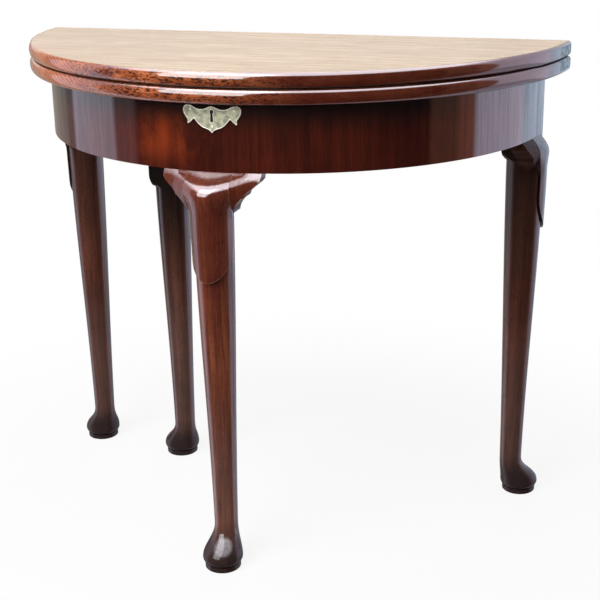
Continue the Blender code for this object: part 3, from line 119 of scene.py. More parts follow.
class Tree:
    """Adds nodes to a shader tree and links them.

    Args:
        tree: the node tree to fill.
    """

    def __init__(self, tree: bpy.types.NodeTree) -> None:
        """Keeps the tree to fill."""
        self.tree = tree

    def feed(self, node: Node, inputs: dict) -> None:
        """Links or sets inputs of a node.

        Args:
            node: the node.
            inputs: socket name or number to a value or to the socket that feeds it.
        """
        for key, value in inputs.items():
            socket = node.inputs[key]
            if isinstance(value, Socket):
                self.tree.links.new(value, socket)
            else:
                socket.default_value = (*value, 1.0) if socket.type == "RGBA" else value

    def add(self, kind: str, inputs: dict | None = None, **settings: object) -> Node:
        """Adds a node.

        Args:
            kind: node type without the ShaderNode prefix.
            inputs: socket name or number to a value or to the socket that feeds it.
            settings: properties of the node.

        Returns:
            The new node.
        """
        node = self.tree.nodes.new("ShaderNode" + kind)
        for key, value in settings.items():
            setattr(node, key, value)
        self.feed(node, inputs or {})
        return node

    def math(self, operation: str, *values: object) -> Socket:
        """Result of a Math node on numbers or sockets."""
        return self.add("Math", dict(enumerate(values)), operation=operation).outputs[0]

    def vector(self, operation: str, *values: object) -> Socket:
        """Result of a Vector Math node on points or sockets."""
        return self.add("VectorMath", dict(enumerate(values)), operation=operation).outputs[0]

    def times(self, first: object, second: object) -> Socket:
        """Product of two values."""
        return self.math("MULTIPLY", first, second)

    def plus(self, first: object, second: object) -> Socket:
        """Sum of two values."""
        return self.math("ADD", first, second)

    def away(self, value: Socket, middle: float) -> Socket:
        """How far a value is from a middle."""
        return self.math("ABSOLUTE", self.math("SUBTRACT", value, middle))

    def less(self, mask: Socket, weight: float) -> Socket:
        """1 less a mask times its weight."""
        return self.math("SUBTRACT", 1.0, self.times(mask, weight))

    def total(self, start: object, masks: Masks, weights: dict[str, float]) -> Socket:
        """Start value plus masks, each times its weight.

        Args:
            start: the start value.
            masks: the masks by name.
            weights: weight of each mask that is added.

        Returns:
            The total.
        """
        for label, weight in weights.items():
            start = self.plus(start, self.times(masks[label], weight))
        return start

    def parts(self, point: Socket) -> Sequence[Socket]:
        """Parts x, y and z of a point."""
        return tuple(self.add("SeparateXYZ", {0: point}).outputs)

    def join(self, *parts: object) -> Socket:
        """Point made of its parts x, y and z."""
        return self.add("CombineXYZ", dict(enumerate(parts))).outputs[0]

    def ramp(self, value: object, low: float, high: float, start: float = 0.0,
             end: float = 1.0) -> Socket:
        """Maps a value from low..high smoothly to start..end, clamped.

        Args:
            value: socket to map.
            low: value that gives start.
            high: value that gives end.
            start: result at low.
            end: result at high.

        Returns:
            The mapped value.
        """
        return self.add("MapRange", {0: value, 1: low, 2: high, 3: start, 4: end},
                        interpolation_type="SMOOTHSTEP").outputs[0]

    def mix(self, factor: object, first: object, second: object) -> Socket:
        """Colour between two colours, the factor being the share of the second."""
        return self.add("Mix", {0: factor, 6: first, 7: second}, data_type="RGBA").outputs[2]

    def mix_shaders(self, factor: Socket, first: Node, second: Node) -> Node:
        """Shader between two shaders, the factor being the share of the second."""
        return self.add("MixShader", {0: factor, 1: first.outputs[0], 2: second.outputs[0]})

    def relief(self, shader: Node, height: Socket, depth: float) -> None:
        """Gives a shader a fine relief of that depth."""
        bump = self.add("Bump", {"Height": height, "Distance": depth, "Strength": 1.0})
        self.feed(shader, {"Normal": bump.outputs[0]})


@dataclass(frozen=True)
class Figure:
    """Noise pattern of a surface.

    Args:
        stretch: features per metre along each part of the point.
        octaves: number of finer and finer patterns in it.
        rough: weight of the finer ones.
        warp: how far the pattern is pulled about.
        span: values that become 0 and 1, None for the plain noise of about 0.3 to 0.7.
    """

    stretch: Triple
    octaves: float = 2.0
    rough: float = 0.5
    warp: float = 0.0
    span: Pair | None = None

    def draw(self, tree: Tree, point: Socket) -> Socket:
        """Adds the pattern to a tree.

        Args:
            tree: tree to add to.
            point: the point on the piece.

        Returns:
            The pattern's value.
        """
        noise = tree.add("TexNoise", {
            "Vector": tree.vector("MULTIPLY", point, self.stretch), "Scale": 1.0,
            "Detail": self.octaves, "Roughness": self.rough, "Distortion": self.warp}).outputs[0]
        return tree.ramp(noise, *self.span) if self.span else noise


def draw_all(figures: dict[str, Figure], tree: Tree, point: Socket) -> Masks:
    """Values of several patterns at a point, by name."""
    return {label: figure.draw(tree, point) for label, figure in figures.items()}


# Shared effects


class Effect:
    """Shader node group that several finishes share, built on its first use."""

    NAME = ""
    STARTS: dict[str, float | None] = {"Place": None}  # start of each input, None for a point
    FIGURES: dict[str, Figure] = {}
    KINDS = {"VALUE": "NodeSocketFloat", "VECTOR": "NodeSocketVector"}

    def fill(self, tree: Tree, given: Masks) -> Masks:
        """Draws the figures; other effects add their own nodes here."""
        return draw_all(self.FIGURES, tree, given["Place"])

    def group(self) -> bpy.types.NodeTree:
        """Returns the node group, built on its first use.

        Returns:
            The group.
        """
        if self.NAME in bpy.data.node_groups:
            return bpy.data.node_groups[self.NAME]
        group = bpy.data.node_groups.new(self.NAME, "ShaderNodeTree")
        for label, start in self.STARTS.items():
            kind = self.KINDS["VECTOR" if start is None else "VALUE"]
            socket = group.interface.new_socket(label, in_out="INPUT", socket_type=kind)
            if start is not None:
                socket.default_value = start
        given = group.nodes.new("NodeGroupInput")
        results = self.fill(Tree(group), {label: given.outputs[label] for label in self.STARTS})
        for label, result in results.items():
            group.interface.new_socket(label, in_out="OUTPUT", socket_type=self.KINDS[result.type])
        made = group.nodes.new("NodeGroupOutput")
        for label, result in results.items():
            group.links.new(result, made.inputs[label])
        return group

    def put(self, tree: Tree, **inputs: object) -> Masks:
        """Places the group in a tree.

        Args:
            tree: tree to add to.
            inputs: value or socket of each input.

        Returns:
            Its outputs by name.
        """
        node = tree.add("Group", inputs, node_tree=self.group())
        return {socket.name: socket for socket in node.outputs}


class CurvedPlace(Effect):
    """Turns a point into length round the front, height and distance from the centre."""

    NAME = "curved_place"
    RADIUS = 0.375  # of the frieze, turns the angle into a length

    def fill(self, tree: Tree, given: Masks) -> Masks:
        """Measures the point round the middle of the back.

        Args:
            tree: tree to add to.
            given: the input sockets.

        Returns:
            The output socket.
        """
        across, depth, height = tree.parts(given["Place"])
        forward = tree.math("SUBTRACT", BACK_Y, depth)
        angle = tree.math("ARCTAN2", across, forward)
        squares = tree.plus(tree.math("POWER", across, 2.0), tree.math("POWER", forward, 2.0))
        return {"Curved": tree.join(tree.times(angle, self.RADIUS), height,
                                    tree.math("SQRT", squares))}


class WoodFibres(Effect):
    """Masks of sawn and polished wood, with fibres along the point's first part."""

    NAME = "wood_fibres"
    STARTS = {"Place": None, "Offset": None}
    BEND = Figure((2.2, 9.0, 9.0))
    BEND_DEPTH = (0.0, 0.030, 0.030)
    BENT = {"Rings": Figure((1.6, 62.0, 62.0), 4.0, 0.62, span=(0.36, 0.66)),
            "Streaks": Figure((7.0, 300.0, 300.0), 5.0, 0.65, span=(0.32, 0.70)),
            "Flame": Figure((26.0, 7.0, 7.0), 3.0, 0.55, 0.8, (0.40, 0.64))}
    STRAIGHT = {"Fine": Figure((45.0, 1500.0, 1500.0)),
                "Pores": Figure((130.0, 2600.0, 2600.0), 1.0, span=(0.60, 0.70)),
                "Blotch": Figure((7.0, 11.0, 11.0), 3.0, span=(0.38, 0.66)),
                "Dashes": Figure((13.0, 125.0, 125.0), 4.0, 0.7, span=(0.48, 0.60))}
    FLECKS = Figure((150.0, 420.0, 420.0), 3.0, 0.6, 0.6)
    CROWDS = Figure((26.0, 40.0, 40.0))
    CROWDING = 0.35
    FLECK_SPAN = (0.66, 0.78)

    def fill(self, tree: Tree, given: Masks) -> Masks:
        """Bends the fibres a little and draws the figures.

        Args:
            tree: tree to add to.
            given: the input sockets.

        Returns:
            The output sockets.
        """
        place = tree.vector("ADD", given["Place"], given["Offset"])
        bend = self.BEND.draw(tree, place)
        pull = tree.vector("MULTIPLY", tree.join(0.0, bend, bend), self.BEND_DEPTH)
        flecks = tree.plus(self.FLECKS.draw(tree, place),
                           tree.times(self.CROWDS.draw(tree, place), self.CROWDING))
        return {**draw_all(self.BENT, tree, tree.vector("ADD", place, pull)),
                **draw_all(self.STRAIGHT, tree, place),
                "Flecks": tree.ramp(flecks, *self.FLECK_SPAN)}


class HandlingMarks(Effect):
    """Marks of long use: smears and small dents."""

    NAME = "handling_marks"
    FIGURES = {"Smears": Figure((14.0, 14.0, 14.0), 4.0, 0.6, 0.5, (0.35, 0.68)),
               "Dents": Figure((160.0, 160.0, 160.0), span=(0.66, 0.80))}


class MetalPatina(Effect):
    """Masks of old metal: patina clouds, dark spots, brushed lines and pits."""

    NAME = "metal_patina"
    FIGURES = {"Clouds": Figure((120.0, 120.0, 120.0), 4.0, 0.6, span=(0.38, 0.64)),
               "Spots": Figure((700.0, 700.0, 700.0), span=(0.60, 0.72)),
               "Lines": Figure((150.0, 150.0, 2400.0)),
               "Pits": Figure((1500.0, 1500.0, 1500.0), span=(0.30, 0.55))}


class EdgeMask(Effect):
    """Edges: 1 where the surface turns within the given width, 0 on flat areas."""

    NAME = "edge_mask"
    STARTS = {"Width": 0.0015}
    TURN = (0.995, 0.80)  # cosines that give 0 and 1

    def fill(self, tree: Tree, given: Masks) -> Masks:
        """Compares the rounded normal with the true one.

        Args:
            tree: tree to add to.
            given: the input sockets.

        Returns:
            The output socket.
        """
        rounded = tree.add("Bevel", {"Radius": given["Width"]}, samples=4).outputs[0]
        true = tree.add("NewGeometry").outputs["Normal"]
        along = tree.add("VectorMath", {0: rounded, 1: true}, operation="DOT_PRODUCT")
        return {"Edge": tree.ramp(along.outputs["Value"], *self.TURN)}


class CreaseShadeMask(Effect):
    """Painted shade in creases: 1 deep in a crease, 0 in the open."""

    NAME = "crease_shade_mask"
    STARTS = {"Reach": 0.006}
    OPEN = (0.92, 0.66)  # shares of open sky that give 0 and 1

    def fill(self, tree: Tree, given: Masks) -> Masks:
        """Measures how open the surface lies.

        Args:
            tree: tree to add to.
            given: the input sockets.

        Returns:
            The output socket.
        """
        around = tree.add("AmbientOcclusion", {"Distance": given["Reach"]}, samples=8,
                          only_local=True)
        return {"CreaseShade": tree.ramp(around.outputs["AO"], *self.OPEN)}


def new_tree(owner: Material | bpy.types.World) -> Tree:
    """Empties the node tree of a material or a world.

    Args:
        owner: the material or world.

    Returns:
        The helper of its tree.
    """
    owner.use_nodes = True
    owner.node_tree.nodes.clear()
    return Tree(owner.node_tree)


def new_material(name: str) -> tuple[Material, Tree, Node, Socket]:
    """Makes a node material with a Principled shader.

    Args:
        name: name of the finish.

    Returns:
        The material, its tree, its shader and the socket with the point on the piece at rest.
    """
    material = bpy.data.materials.new(f"finish_{name}")
    tree = new_tree(material)
    shader = tree.add("BsdfPrincipled")
    tree.add("OutputMaterial", {0: shader.outputs[0]})
    return material, tree, shader, tree.add("TexCoord").outputs["Object"]


class Layers:
    """Colour of a surface, built up layer by layer.

    Args:
        tree: tree to add to.
        colour: the colour underneath.
    """

    def __init__(self, tree: Tree, colour: Socket) -> None:
        """Starts with the colour underneath."""
        self.tree = tree
        self.colour = colour

    def lay(self, mask: Socket, strength: float, tint: Triple) -> None:
        """Lays a tint where the mask is high, or nothing at strength 0."""
        if strength:
            self.colour = self.tree.mix(self.tree.times(mask, strength), self.colour, tint)

    def lay_by_height(self, height: Socket, growth: Triple, tint: Triple) -> None:
        """Lays a tint that grows from one height to another.

        Args:
            height: height of the point.
            growth: strength, height where the tint begins and height where it is full.
            tint: the tint.
        """
        strength, begin, full = growth
        if strength:
            self.lay(self.tree.ramp(height, begin, full), strength, tint)


# Finishes


class Grain(Enum):
    """Direction of the wood's fibres in a piece."""

    ALONG_X = "along x"
    ALONG_Z = "along z"
    AROUND = "around the curve"
    UPRIGHT = "upright on the curve"


@dataclass(frozen=True)
class WoodFinish:
    """A wood's colours, figure and surface.

    Args:
        name: the material's name.
        dark: colour of the dark lines.
        mid: main colour.
        light: colour of the light streaks.
        grain: direction of the fibres.
        offset: shift of the pattern, so that boards differ.
        streak: strength of the streaks.
        flame: strength of the cross figure.
        pore: strength of the dark pores.
        worn_lit_tint: colour of rubbed edges, which on the legs is also a painted highlight.
        worn_lit: strength of the rubbed edges and their painted highlight.
        roughness: roughness under the polish.
        coat: amount of polish.
        coat_roughness: roughness of the polish.
        coat_ior: refraction of the polish.
        specular: shine of the wood under the polish.
        saw: strength of the saw marks.
        fleck: strength of the dark flecks.
        feather: strength of the slanting lines at a leaf's left end.
        shade: strength of the painted shade at a leaf's right end.
        crease_shade: strength of the painted shade in creases.
        floor_dark: strength of the darkening near the floor, which also takes polish away there.
        glow: strength of the veneer's lighter figure beside the lock.
        dash: strength of short dark lines in a faded surface.
        left_shade: strength of the painted shade at a leaf's left end.
        high_shade: strength, begin and full height of the painted shade high up.
        rubbed: share of the polish that is gone along the streaks.
        ruddy: strength, begin and full height of the redder wood high up.
        greyer_low: strength, begin and full height of the greyer tone low down.
        seam_shade: height of the painted shade where two leaves meet, 0 for none.
        bump: height of the relief.
    """

    name: str
    dark: Triple
    mid: Triple
    light: Triple
    grain: Grain = Grain.ALONG_X
    offset: Triple = (0.0, 0.0, 0.0)
    streak: float = 0.5
    flame: float = 0.0
    pore: float = 0.5
    worn_lit_tint: Triple = (0.30, 0.12, 0.05)
    worn_lit: float = 0.5
    roughness: float = 0.42
    coat: float = 1.0
    coat_roughness: float = 0.16
    coat_ior: float = 1.65
    specular: float = 0.15
    saw: float = 0.0
    fleck: float = 0.0
    feather: float = 0.0
    shade: float = 0.0
    crease_shade: float = 0.0
    floor_dark: float = 0.0
    glow: float = 0.0
    dash: float = 0.0
    left_shade: float = 0.0
    high_shade: Triple = (0.0, 0.0, 1.0)
    rubbed: float = 0.0
    ruddy: Triple = (0.0, 0.0, 1.0)
    greyer_low: Triple = (0.0, 1.0, 0.0)
    seam_shade: float = 0.0
    bump: float = 0.00012

    # Tints that lie over the wood: tones, darkening near the floor and painted shade
    RUDDY = (0.125, 0.012, 0.006)
    GLOW = (0.25, 0.036, 0.007)
    SHADE = (0.050, 0.0045, 0.003)
    LOW_GREY = (0.120, 0.096, 0.088)
    FLOOR_DARK_TINT = (0.011, 0.010, 0.012)
    SHADOW = (0.008, 0.005, 0.004)
    SEAM_SHADE = (0.004, 0.002, 0.002)
    CREASE_SHADE = (0.006, 0.004, 0.003)
    # Weights of masks in the relief and in the roughness
    RELIEF = {"Fine": 0.5, "Pores": -0.8, "Dents": -0.6}
    ROUGH = {"Smears": 0.14, "Streaks": 0.05}
    # Shares of the dark colour in blotches, flecks and pores
    BLOTCH, FLECK_TONE, PORE_TONE = 0.35, 0.8, 0.35
    # Measures that give 0 and 1: heights, places along x and distances from a middle
    NEAR_FLOOR = (0.074, 0.030)
    LEFT_DIM, RIGHT_SHADE = (0.02, -0.22), (-0.02, 0.14)
    FLECK_X, FLECK_REACH = -0.055, (0.250, 0.130)
    FEATHER_X, FEATHER_REACH = -0.262, (0.075, 0.030)
    GLOW_X, GLOW_REACH = -0.066, (0.052, 0.004)
    GLOW_Z, GLOW_RISE = 0.634, (0.056, 0.010)
    SEAM_SHADE_REACH = (0.0024, 0.0010)
    # Widths and masks of rubbed edges with painted highlight and of painted crease shade, lost
    # polish, saw lines
    EDGE_WIDTH, CREASE_REACH = 0.0022, 0.0045
    WORN_LIT_FIBRES = (0.35, 0.60)
    FLOOR_LOSS = 0.8
    SAW_LINES = Figure((420.0, 3.0, 3.0))
    # Wandering outline and plain share of the figure beside the lock, slanting lines
    WANDER, WANDER_DEPTH = Figure((38.0, 38.0, 22.0), 3.0, 0.6), 0.110
    GLOW_PLAIN, GLOW_RINGS = 0.55, {"Rings": 0.45}
    SLANT = (1.0, 0.0, 1.6)
    WAVES = {"Scale": 62.0, "Distortion": 1.6, "Detail": 2.0, "Detail Scale": 1.2}

    def darker(self, share: float) -> Triple:
        """The dark colour times a share."""
        return tuple(share * part for part in self.dark)

    def along_fibres(self, tree: Tree, point: Socket) -> Socket:
        """Turns a point so that the fibres run along its first part.

        Args:
            tree: tree to add to.
            point: the point on the piece.

        Returns:
            The turned point.
        """
        if self.grain in (Grain.AROUND, Grain.UPRIGHT):
            point = CurvedPlace().put(tree, Place=point)["Curved"]
        order = {Grain.UPRIGHT: (1, 0, 2), Grain.ALONG_Z: (2, 0, 1)}.get(self.grain)
        if order:
            parts = tree.parts(point)
            point = tree.join(*(parts[number] for number in order))
        return point

    def build(self) -> Material:
        """Makes the material.

        Returns:
            The material.
        """
        material, tree, shader, point = new_material(self.name)
        place = self.along_fibres(tree, point)
        wood = WoodFibres().put(tree, Place=place, Offset=self.offset)
        masks = {**wood, **HandlingMarks().put(tree, Place=point)}
        height = tree.parts(tree.add("NewGeometry").outputs["Position"])[2]
        near_floor = tree.ramp(height, *self.NEAR_FLOOR)
        relief = tree.total(0.0, masks, self.RELIEF)
        if self.saw:
            relief = tree.plus(relief, tree.times(self.SAW_LINES.draw(tree, place), self.saw))
        tree.relief(shader, relief, self.bump)
        tree.feed(shader, {
            "Base Color": self.colour(tree, point, wood, height, near_floor),
            "Roughness": tree.total(self.roughness, masks, self.ROUGH),
            "Specular IOR Level": self.specular, "Coat Weight": self.coat,
            "Coat Roughness": self.coat_roughness, "Coat IOR": self.coat_ior})
        if self.rubbed:
            left = tree.times(tree.less(wood["Streaks"], self.rubbed),
                              tree.less(near_floor, self.FLOOR_LOSS * self.floor_dark))
            tree.feed(shader, {"Coat Weight": tree.times(self.coat, left)})
        return material

    def colour(self, tree: Tree, point: Socket, wood: Masks, height: Socket,
               near_floor: Socket) -> Socket:
        """Lays figure, rubbed edges with a painted highlight, tones low down and painted shade over
        each other.

        Args:
            tree: tree to add to.
            point: the point on the piece at rest.
            wood: masks of the fibres.
            height: height over the floor.
            near_floor: mask of the surface near the floor.

        Returns:
            The colour.
        """
        across, _, up = tree.parts(point)
        layers = Layers(tree, tree.mix(wood["Rings"], self.mid, self.light))
        layers.lay_by_height(height, self.ruddy, self.RUDDY)
        layers.lay(wood["Streaks"], self.streak, self.dark)
        layers.lay(wood["Flame"], self.flame, self.light)
        layers.lay(wood["Blotch"], self.BLOTCH, self.dark)
        if self.glow:
            layers.lay(self.beside_lock(tree, point, wood), self.glow, self.GLOW)
        flecks = wood["Flecks"]
        if self.feather:
            middle = tree.ramp(tree.away(across, self.FLECK_X), *self.FLECK_REACH)
            flecks = tree.times(flecks, middle)
        layers.lay(flecks, self.fleck, self.darker(self.FLECK_TONE))
        if self.feather:
            layers.lay(self.slanting(tree, point, across), self.feather, self.light)
            # painted shade towards the leaf's right end
            layers.lay(tree.ramp(across, *self.RIGHT_SHADE), self.shade, self.SHADE)
        layers.lay(wood["Dashes"], self.dash, self.dark)
        # painted shade towards the leaf's left end
        if self.left_shade:
            layers.lay(tree.ramp(across, *self.LEFT_DIM), self.left_shade, self.dark)
        layers.lay(wood["Pores"], self.pore, self.darker(self.PORE_TONE))
        # rubbed edges, light enough on the legs to be a painted highlight along their edges
        edge = EdgeMask().put(tree, Width=self.EDGE_WIDTH)["Edge"]
        layers.lay(tree.times(edge, tree.ramp(wood["Fine"], *self.WORN_LIT_FIBRES)), self.worn_lit,
                   self.worn_lit_tint)
        # greyer towards the bottom
        layers.lay_by_height(height, self.greyer_low, self.LOW_GREY)
        # darker towards the floor
        layers.lay(near_floor, self.floor_dark, self.FLOOR_DARK_TINT)
        # painted shade high up, under the top's overhang and under the table
        layers.lay_by_height(height, self.high_shade, self.SHADOW)
        # painted shade in the gap where the two leaves meet
        if self.seam_shade:
            layers.lay(tree.ramp(tree.away(up, self.seam_shade), *self.SEAM_SHADE_REACH), 1.0, self.SEAM_SHADE)
        # painted shade in creases, darkest where the surface lies least open
        if self.crease_shade:
            crease = CreaseShadeMask().put(tree, Reach=self.CREASE_REACH)["CreaseShade"]
            layers.lay(crease, self.crease_shade, self.CREASE_SHADE)
        return layers.colour

    def beside_lock(self, tree: Tree, point: Socket, wood: Masks) -> Socket:
        """Mask of the veneer's lighter, orange figure beside the lock.

        Args:
            tree: tree to add to.
            point: the point on the piece at rest.
            wood: masks of the fibres.

        Returns:
            The mask.
        """
        across, _, up = tree.parts(point)
        wander = tree.math("SUBTRACT", self.WANDER.draw(tree, point), 0.5)
        shifted = tree.plus(across, tree.times(wander, self.WANDER_DEPTH))
        near = tree.times(tree.ramp(tree.away(shifted, self.GLOW_X), *self.GLOW_REACH),
                          tree.ramp(tree.away(up, self.GLOW_Z), *self.GLOW_RISE))
        return tree.times(near, tree.total(self.GLOW_PLAIN, wood, self.GLOW_RINGS))

    def slanting(self, tree: Tree, point: Socket, across: Socket) -> Socket:
        """Mask of the slanting lines near the left end of a leaf's edge.

        Args:
            tree: tree to add to.
            point: the point on the piece at rest.
            across: its first part.

        Returns:
            The mask.
        """
        place = tree.vector("MULTIPLY", point, self.SLANT)
        wave = tree.add("TexWave", {"Vector": place, **self.WAVES}, bands_direction="DIAGONAL")
        left = tree.ramp(tree.away(across, self.FEATHER_X), *self.FEATHER_REACH)
        return tree.times(wave.outputs["Fac"], left)


@dataclass(frozen=True)
class MetalFinish:
    """A metal's colours and surface.

    Args:
        name: the material's name.
        clean: colour where it is rubbed bright.
        patina: colour of the patina.
        spot: colour of the dark spots.
        roughness: roughness of the clean metal.
        aged: share of the patina.
        metal: how metallic the surface is.
        bump: height of the relief.
    """

    name: str
    clean: Triple
    patina: Triple
    spot: Triple
    roughness: float = 0.34
    aged: float = 0.7
    metal: float = 0.9
    bump: float = 0.00006

    EDGE_WIDTH = 0.0006
    EDGE_RUB, SPOTTED = 0.7, 0.7
    RELIEF = {"Lines": 0.5, "Pits": 0.5}
    ROUGH = {"Aged": 0.28, "Spots": 0.15}

    def build(self) -> Material:
        """Makes the material.

        Returns:
            The material.
        """
        material, tree, shader, point = new_material(self.name)
        masks = MetalPatina().put(tree, Place=point)
        edge = EdgeMask().put(tree, Width=self.EDGE_WIDTH)["Edge"]
        masks["Aged"] = tree.times(tree.times(masks["Clouds"], self.aged),
                                   tree.less(edge, self.EDGE_RUB))
        layers = Layers(tree, tree.mix(masks["Aged"], self.clean, self.patina))
        layers.lay(masks["Spots"], self.SPOTTED, self.spot)
        tree.relief(shader, tree.total(0.0, masks, self.RELIEF), self.bump)
        tree.feed(shader, {"Base Color": layers.colour, "Metallic": self.metal,
                           "Roughness": tree.total(self.roughness, masks, self.ROUGH)})
        return material


LEG_WOOD = WoodFinish(
    "leg_wood", (0.036, 0.008, 0.005), (0.165, 0.038, 0.018), (0.270, 0.078, 0.034),
    grain=Grain.ALONG_Z, streak=0.72, flame=0.12, pore=0.50, worn_lit=0.95, crease_shade=0.95, floor_dark=0.85,
    worn_lit_tint=(0.46, 0.22, 0.14), roughness=0.36, coat_roughness=0.13, coat_ior=1.90, specular=0.04,
    fleck=0.18, rubbed=0.30, ruddy=(0.62, 0.30, 0.50), greyer_low=(0.29, 0.30, 0.12))
# Darker copy of the leg wood for the legs further back: painted shade.
SHADED_BACK_LEG_WOOD = WoodFinish(
    "shaded_back_leg_wood", (0.026, 0.008, 0.005), (0.086, 0.024, 0.014), (0.165, 0.052, 0.029),
    grain=Grain.ALONG_Z, streak=0.55, flame=0.12, pore=0.40, worn_lit=0.45, crease_shade=0.95, floor_dark=0.75,
    worn_lit_tint=(0.26, 0.11, 0.06), roughness=0.38, coat=0.85, coat_roughness=0.20, coat_ior=1.65,
    specular=0.05, fleck=0.30, high_shade=(0.66, 0.20, 0.60), rubbed=0.30, greyer_low=(0.24, 0.34, 0.14))
PINE = WoodFinish(
    "pine", (0.24, 0.125, 0.050), (0.46, 0.300, 0.150), (0.56, 0.390, 0.210), streak=0.6,
    pore=0.15, worn_lit=0.2, worn_lit_tint=(0.55, 0.42, 0.27), roughness=0.76, coat=0.0, saw=1.0,
    bump=0.00030)


FINISHES = {finish.name: finish for finish in (
    # pale top: faded wood with a painted sheen of the pale surroundings
    WoodFinish("leaf_top_faded_sheen", (0.33, 0.215, 0.128), (0.60, 0.420, 0.262), (0.79, 0.590, 0.395),
        streak=0.70, pore=0.35, worn_lit=0.25, worn_lit_tint=(0.66, 0.46, 0.31), roughness=0.40,
        coat_roughness=0.20, coat_ior=1.5, specular=0.05, dash=0.75, left_shade=0.46, rubbed=0.30),
    WoodFinish("leaf_edge", (0.045, 0.010, 0.005), (0.340, 0.075, 0.023), (0.560, 0.165, 0.060),
        streak=0.40, pore=0.40, worn_lit=0.20, worn_lit_tint=(0.50, 0.17, 0.07), roughness=0.36,
        coat_roughness=0.07, coat_ior=1.82, specular=0.05, fleck=0.95, feather=0.7, shade=0.85,
        seam_shade=SEAM_Z),
    WoodFinish("leaf_inside", (0.110, 0.038, 0.018), (0.270, 0.100, 0.045), (0.390, 0.165, 0.080),
        streak=0.60, flame=0.20, pore=0.50, worn_lit=0.20, worn_lit_tint=(0.42, 0.19, 0.10), roughness=0.38,
        coat_roughness=0.12, coat_ior=1.5, specular=0.05, dash=0.40, rubbed=0.20),
    WoodFinish("leaf_under", (0.12, 0.045, 0.022), (0.24, 0.095, 0.045), (0.32, 0.14, 0.07),
        pore=0.6, coat=0.3, coat_roughness=0.35, roughness=0.55),
    # the veneer's dark band high up is the painted shadow of the top's overhang
    WoodFinish("veneer", (0.014, 0.002, 0.001), (0.050, 0.007, 0.004), (0.088, 0.013, 0.005),
        grain=Grain.UPRIGHT, streak=0.55, flame=0.25, pore=0.30, worn_lit=0.25, roughness=0.38,
        worn_lit_tint=(0.16, 0.05, 0.025), coat_roughness=0.05, coat_ior=1.95, specular=0.04, glow=0.75,
        high_shade=(0.90, 0.628, 0.675), rubbed=0.25),
    LEG_WOOD,
    SHADED_BACK_LEG_WOOD,
    # darker copy of the leg wood for the gate leg: painted shade
    replace(SHADED_BACK_LEG_WOOD, name="shaded_gate_wood", dark=(0.028, 0.009, 0.005), mid=(0.092, 0.027, 0.017),
        light=(0.170, 0.058, 0.035), offset=(0.2, 0.3, 0.1), worn_lit=0.25, worn_lit_tint=(0.20, 0.09, 0.05),
        roughness=0.42, coat=1.0, coat_ior=1.7, high_shade=(0.96, 0.24, 0.510),
        greyer_low=(0.26, 0.40, 0.18)),
    replace(LEG_WOOD, name="ear_wood", dark=(0.034, 0.0075, 0.0045), mid=(0.150, 0.034, 0.016),
        light=(0.245, 0.070, 0.030), worn_lit=0.30, floor_dark=0.0, worn_lit_tint=(0.40, 0.18, 0.11), coat=0.62,
        greyer_low=(0.0, 1.0, 0.0)),
    WoodFinish("shaded_ear_wood", (0.020, 0.006, 0.004), (0.030, 0.009, 0.006),
        (0.060, 0.018, 0.010), grain=Grain.ALONG_Z, offset=(0.1, 0.2, 0.4), pore=0.4, worn_lit=0.25,
        crease_shade=0.9, worn_lit_tint=(0.12, 0.05, 0.03), roughness=0.45, coat=0.15, coat_roughness=0.20,
        coat_ior=1.6, specular=0.03, fleck=0.30),
    WoodFinish("oak", (0.13, 0.070, 0.032), (0.27, 0.165, 0.085), (0.36, 0.235, 0.13), streak=0.7,
        pore=0.8, worn_lit=0.3, worn_lit_tint=(0.36, 0.26, 0.16), roughness=0.72, coat=0.0, saw=1.2,
        bump=0.00035),
    PINE,
    replace(PINE, name="pine_curved", mid=(0.44, 0.285, 0.140), light=(0.54, 0.370, 0.200),
        grain=Grain.AROUND),
    MetalFinish("brass", (0.60, 0.44, 0.20), (0.28, 0.21, 0.10), (0.07, 0.05, 0.03)),
    MetalFinish("aged_brass", (0.56, 0.54, 0.38), (0.17, 0.19, 0.14), (0.13, 0.10, 0.06),
        roughness=0.40, aged=0.85, metal=0.25),
    MetalFinish("rim_brass", (1.00, 0.95, 0.82), (0.85, 0.80, 0.66), (0.45, 0.38, 0.27),
        roughness=0.36, aged=0.4, metal=0.40),
    # teal straps: patina and a painted reflection of cool light
    MetalFinish("strap_patina_and_reflection", (0.150, 0.195, 0.190), (0.085, 0.120, 0.120), (0.12, 0.08, 0.05),
        metal=0.95),
    # black behind the keyhole: painted shade
    MetalFinish("keyhole_shade_black", (0.014, 0.012, 0.011), (0.008, 0.007, 0.006), (0.022, 0.012, 0.008),
        roughness=0.70, metal=0.2),
    MetalFinish("iron", (0.20, 0.19, 0.18), (0.085, 0.060, 0.045), (0.10, 0.045, 0.022),
        roughness=0.50, metal=0.85, bump=0.00012),
)}


class Palette:
    """All finishes of the table, each built once when first asked for."""

    def __init__(self) -> None:
        """Starts with no material made."""
        self.made: dict[str, Material] = {}

    def get(self, name: str) -> Material:
        """Returns the material of that name.

        Args:
            name: name of a finish.

        Returns:
            The material.
        """
        if name not in self.made:
            self.made[name] = FINISHES[name].build()
        return self.made[name]


# Meshes


def link(name: str, data: bpy.types.ID) -> Object:
    """Puts a mesh, camera or lamp into the scene as an object.

    Args:
        name: the object's name.
        data: its data.

    Returns:
        The object.
    """
    made = bpy.data.objects.new(name, data)
    bpy.context.scene.collection.objects.link(made)
    return made


def finished(name: str, body: BMesh, materials: Sequence[Material]) -> Object:
    """Turns a mesh in work into an object and frees it.

    Args:
        name: the object's name.
        body: the mesh in work.
        materials: the object's materials.

    Returns:
        The object.
    """
    mesh = bpy.data.meshes.new(name)
    body.to_mesh(mesh)
    body.free()
    for material in materials:
        mesh.materials.append(material)
    return link(name, mesh)


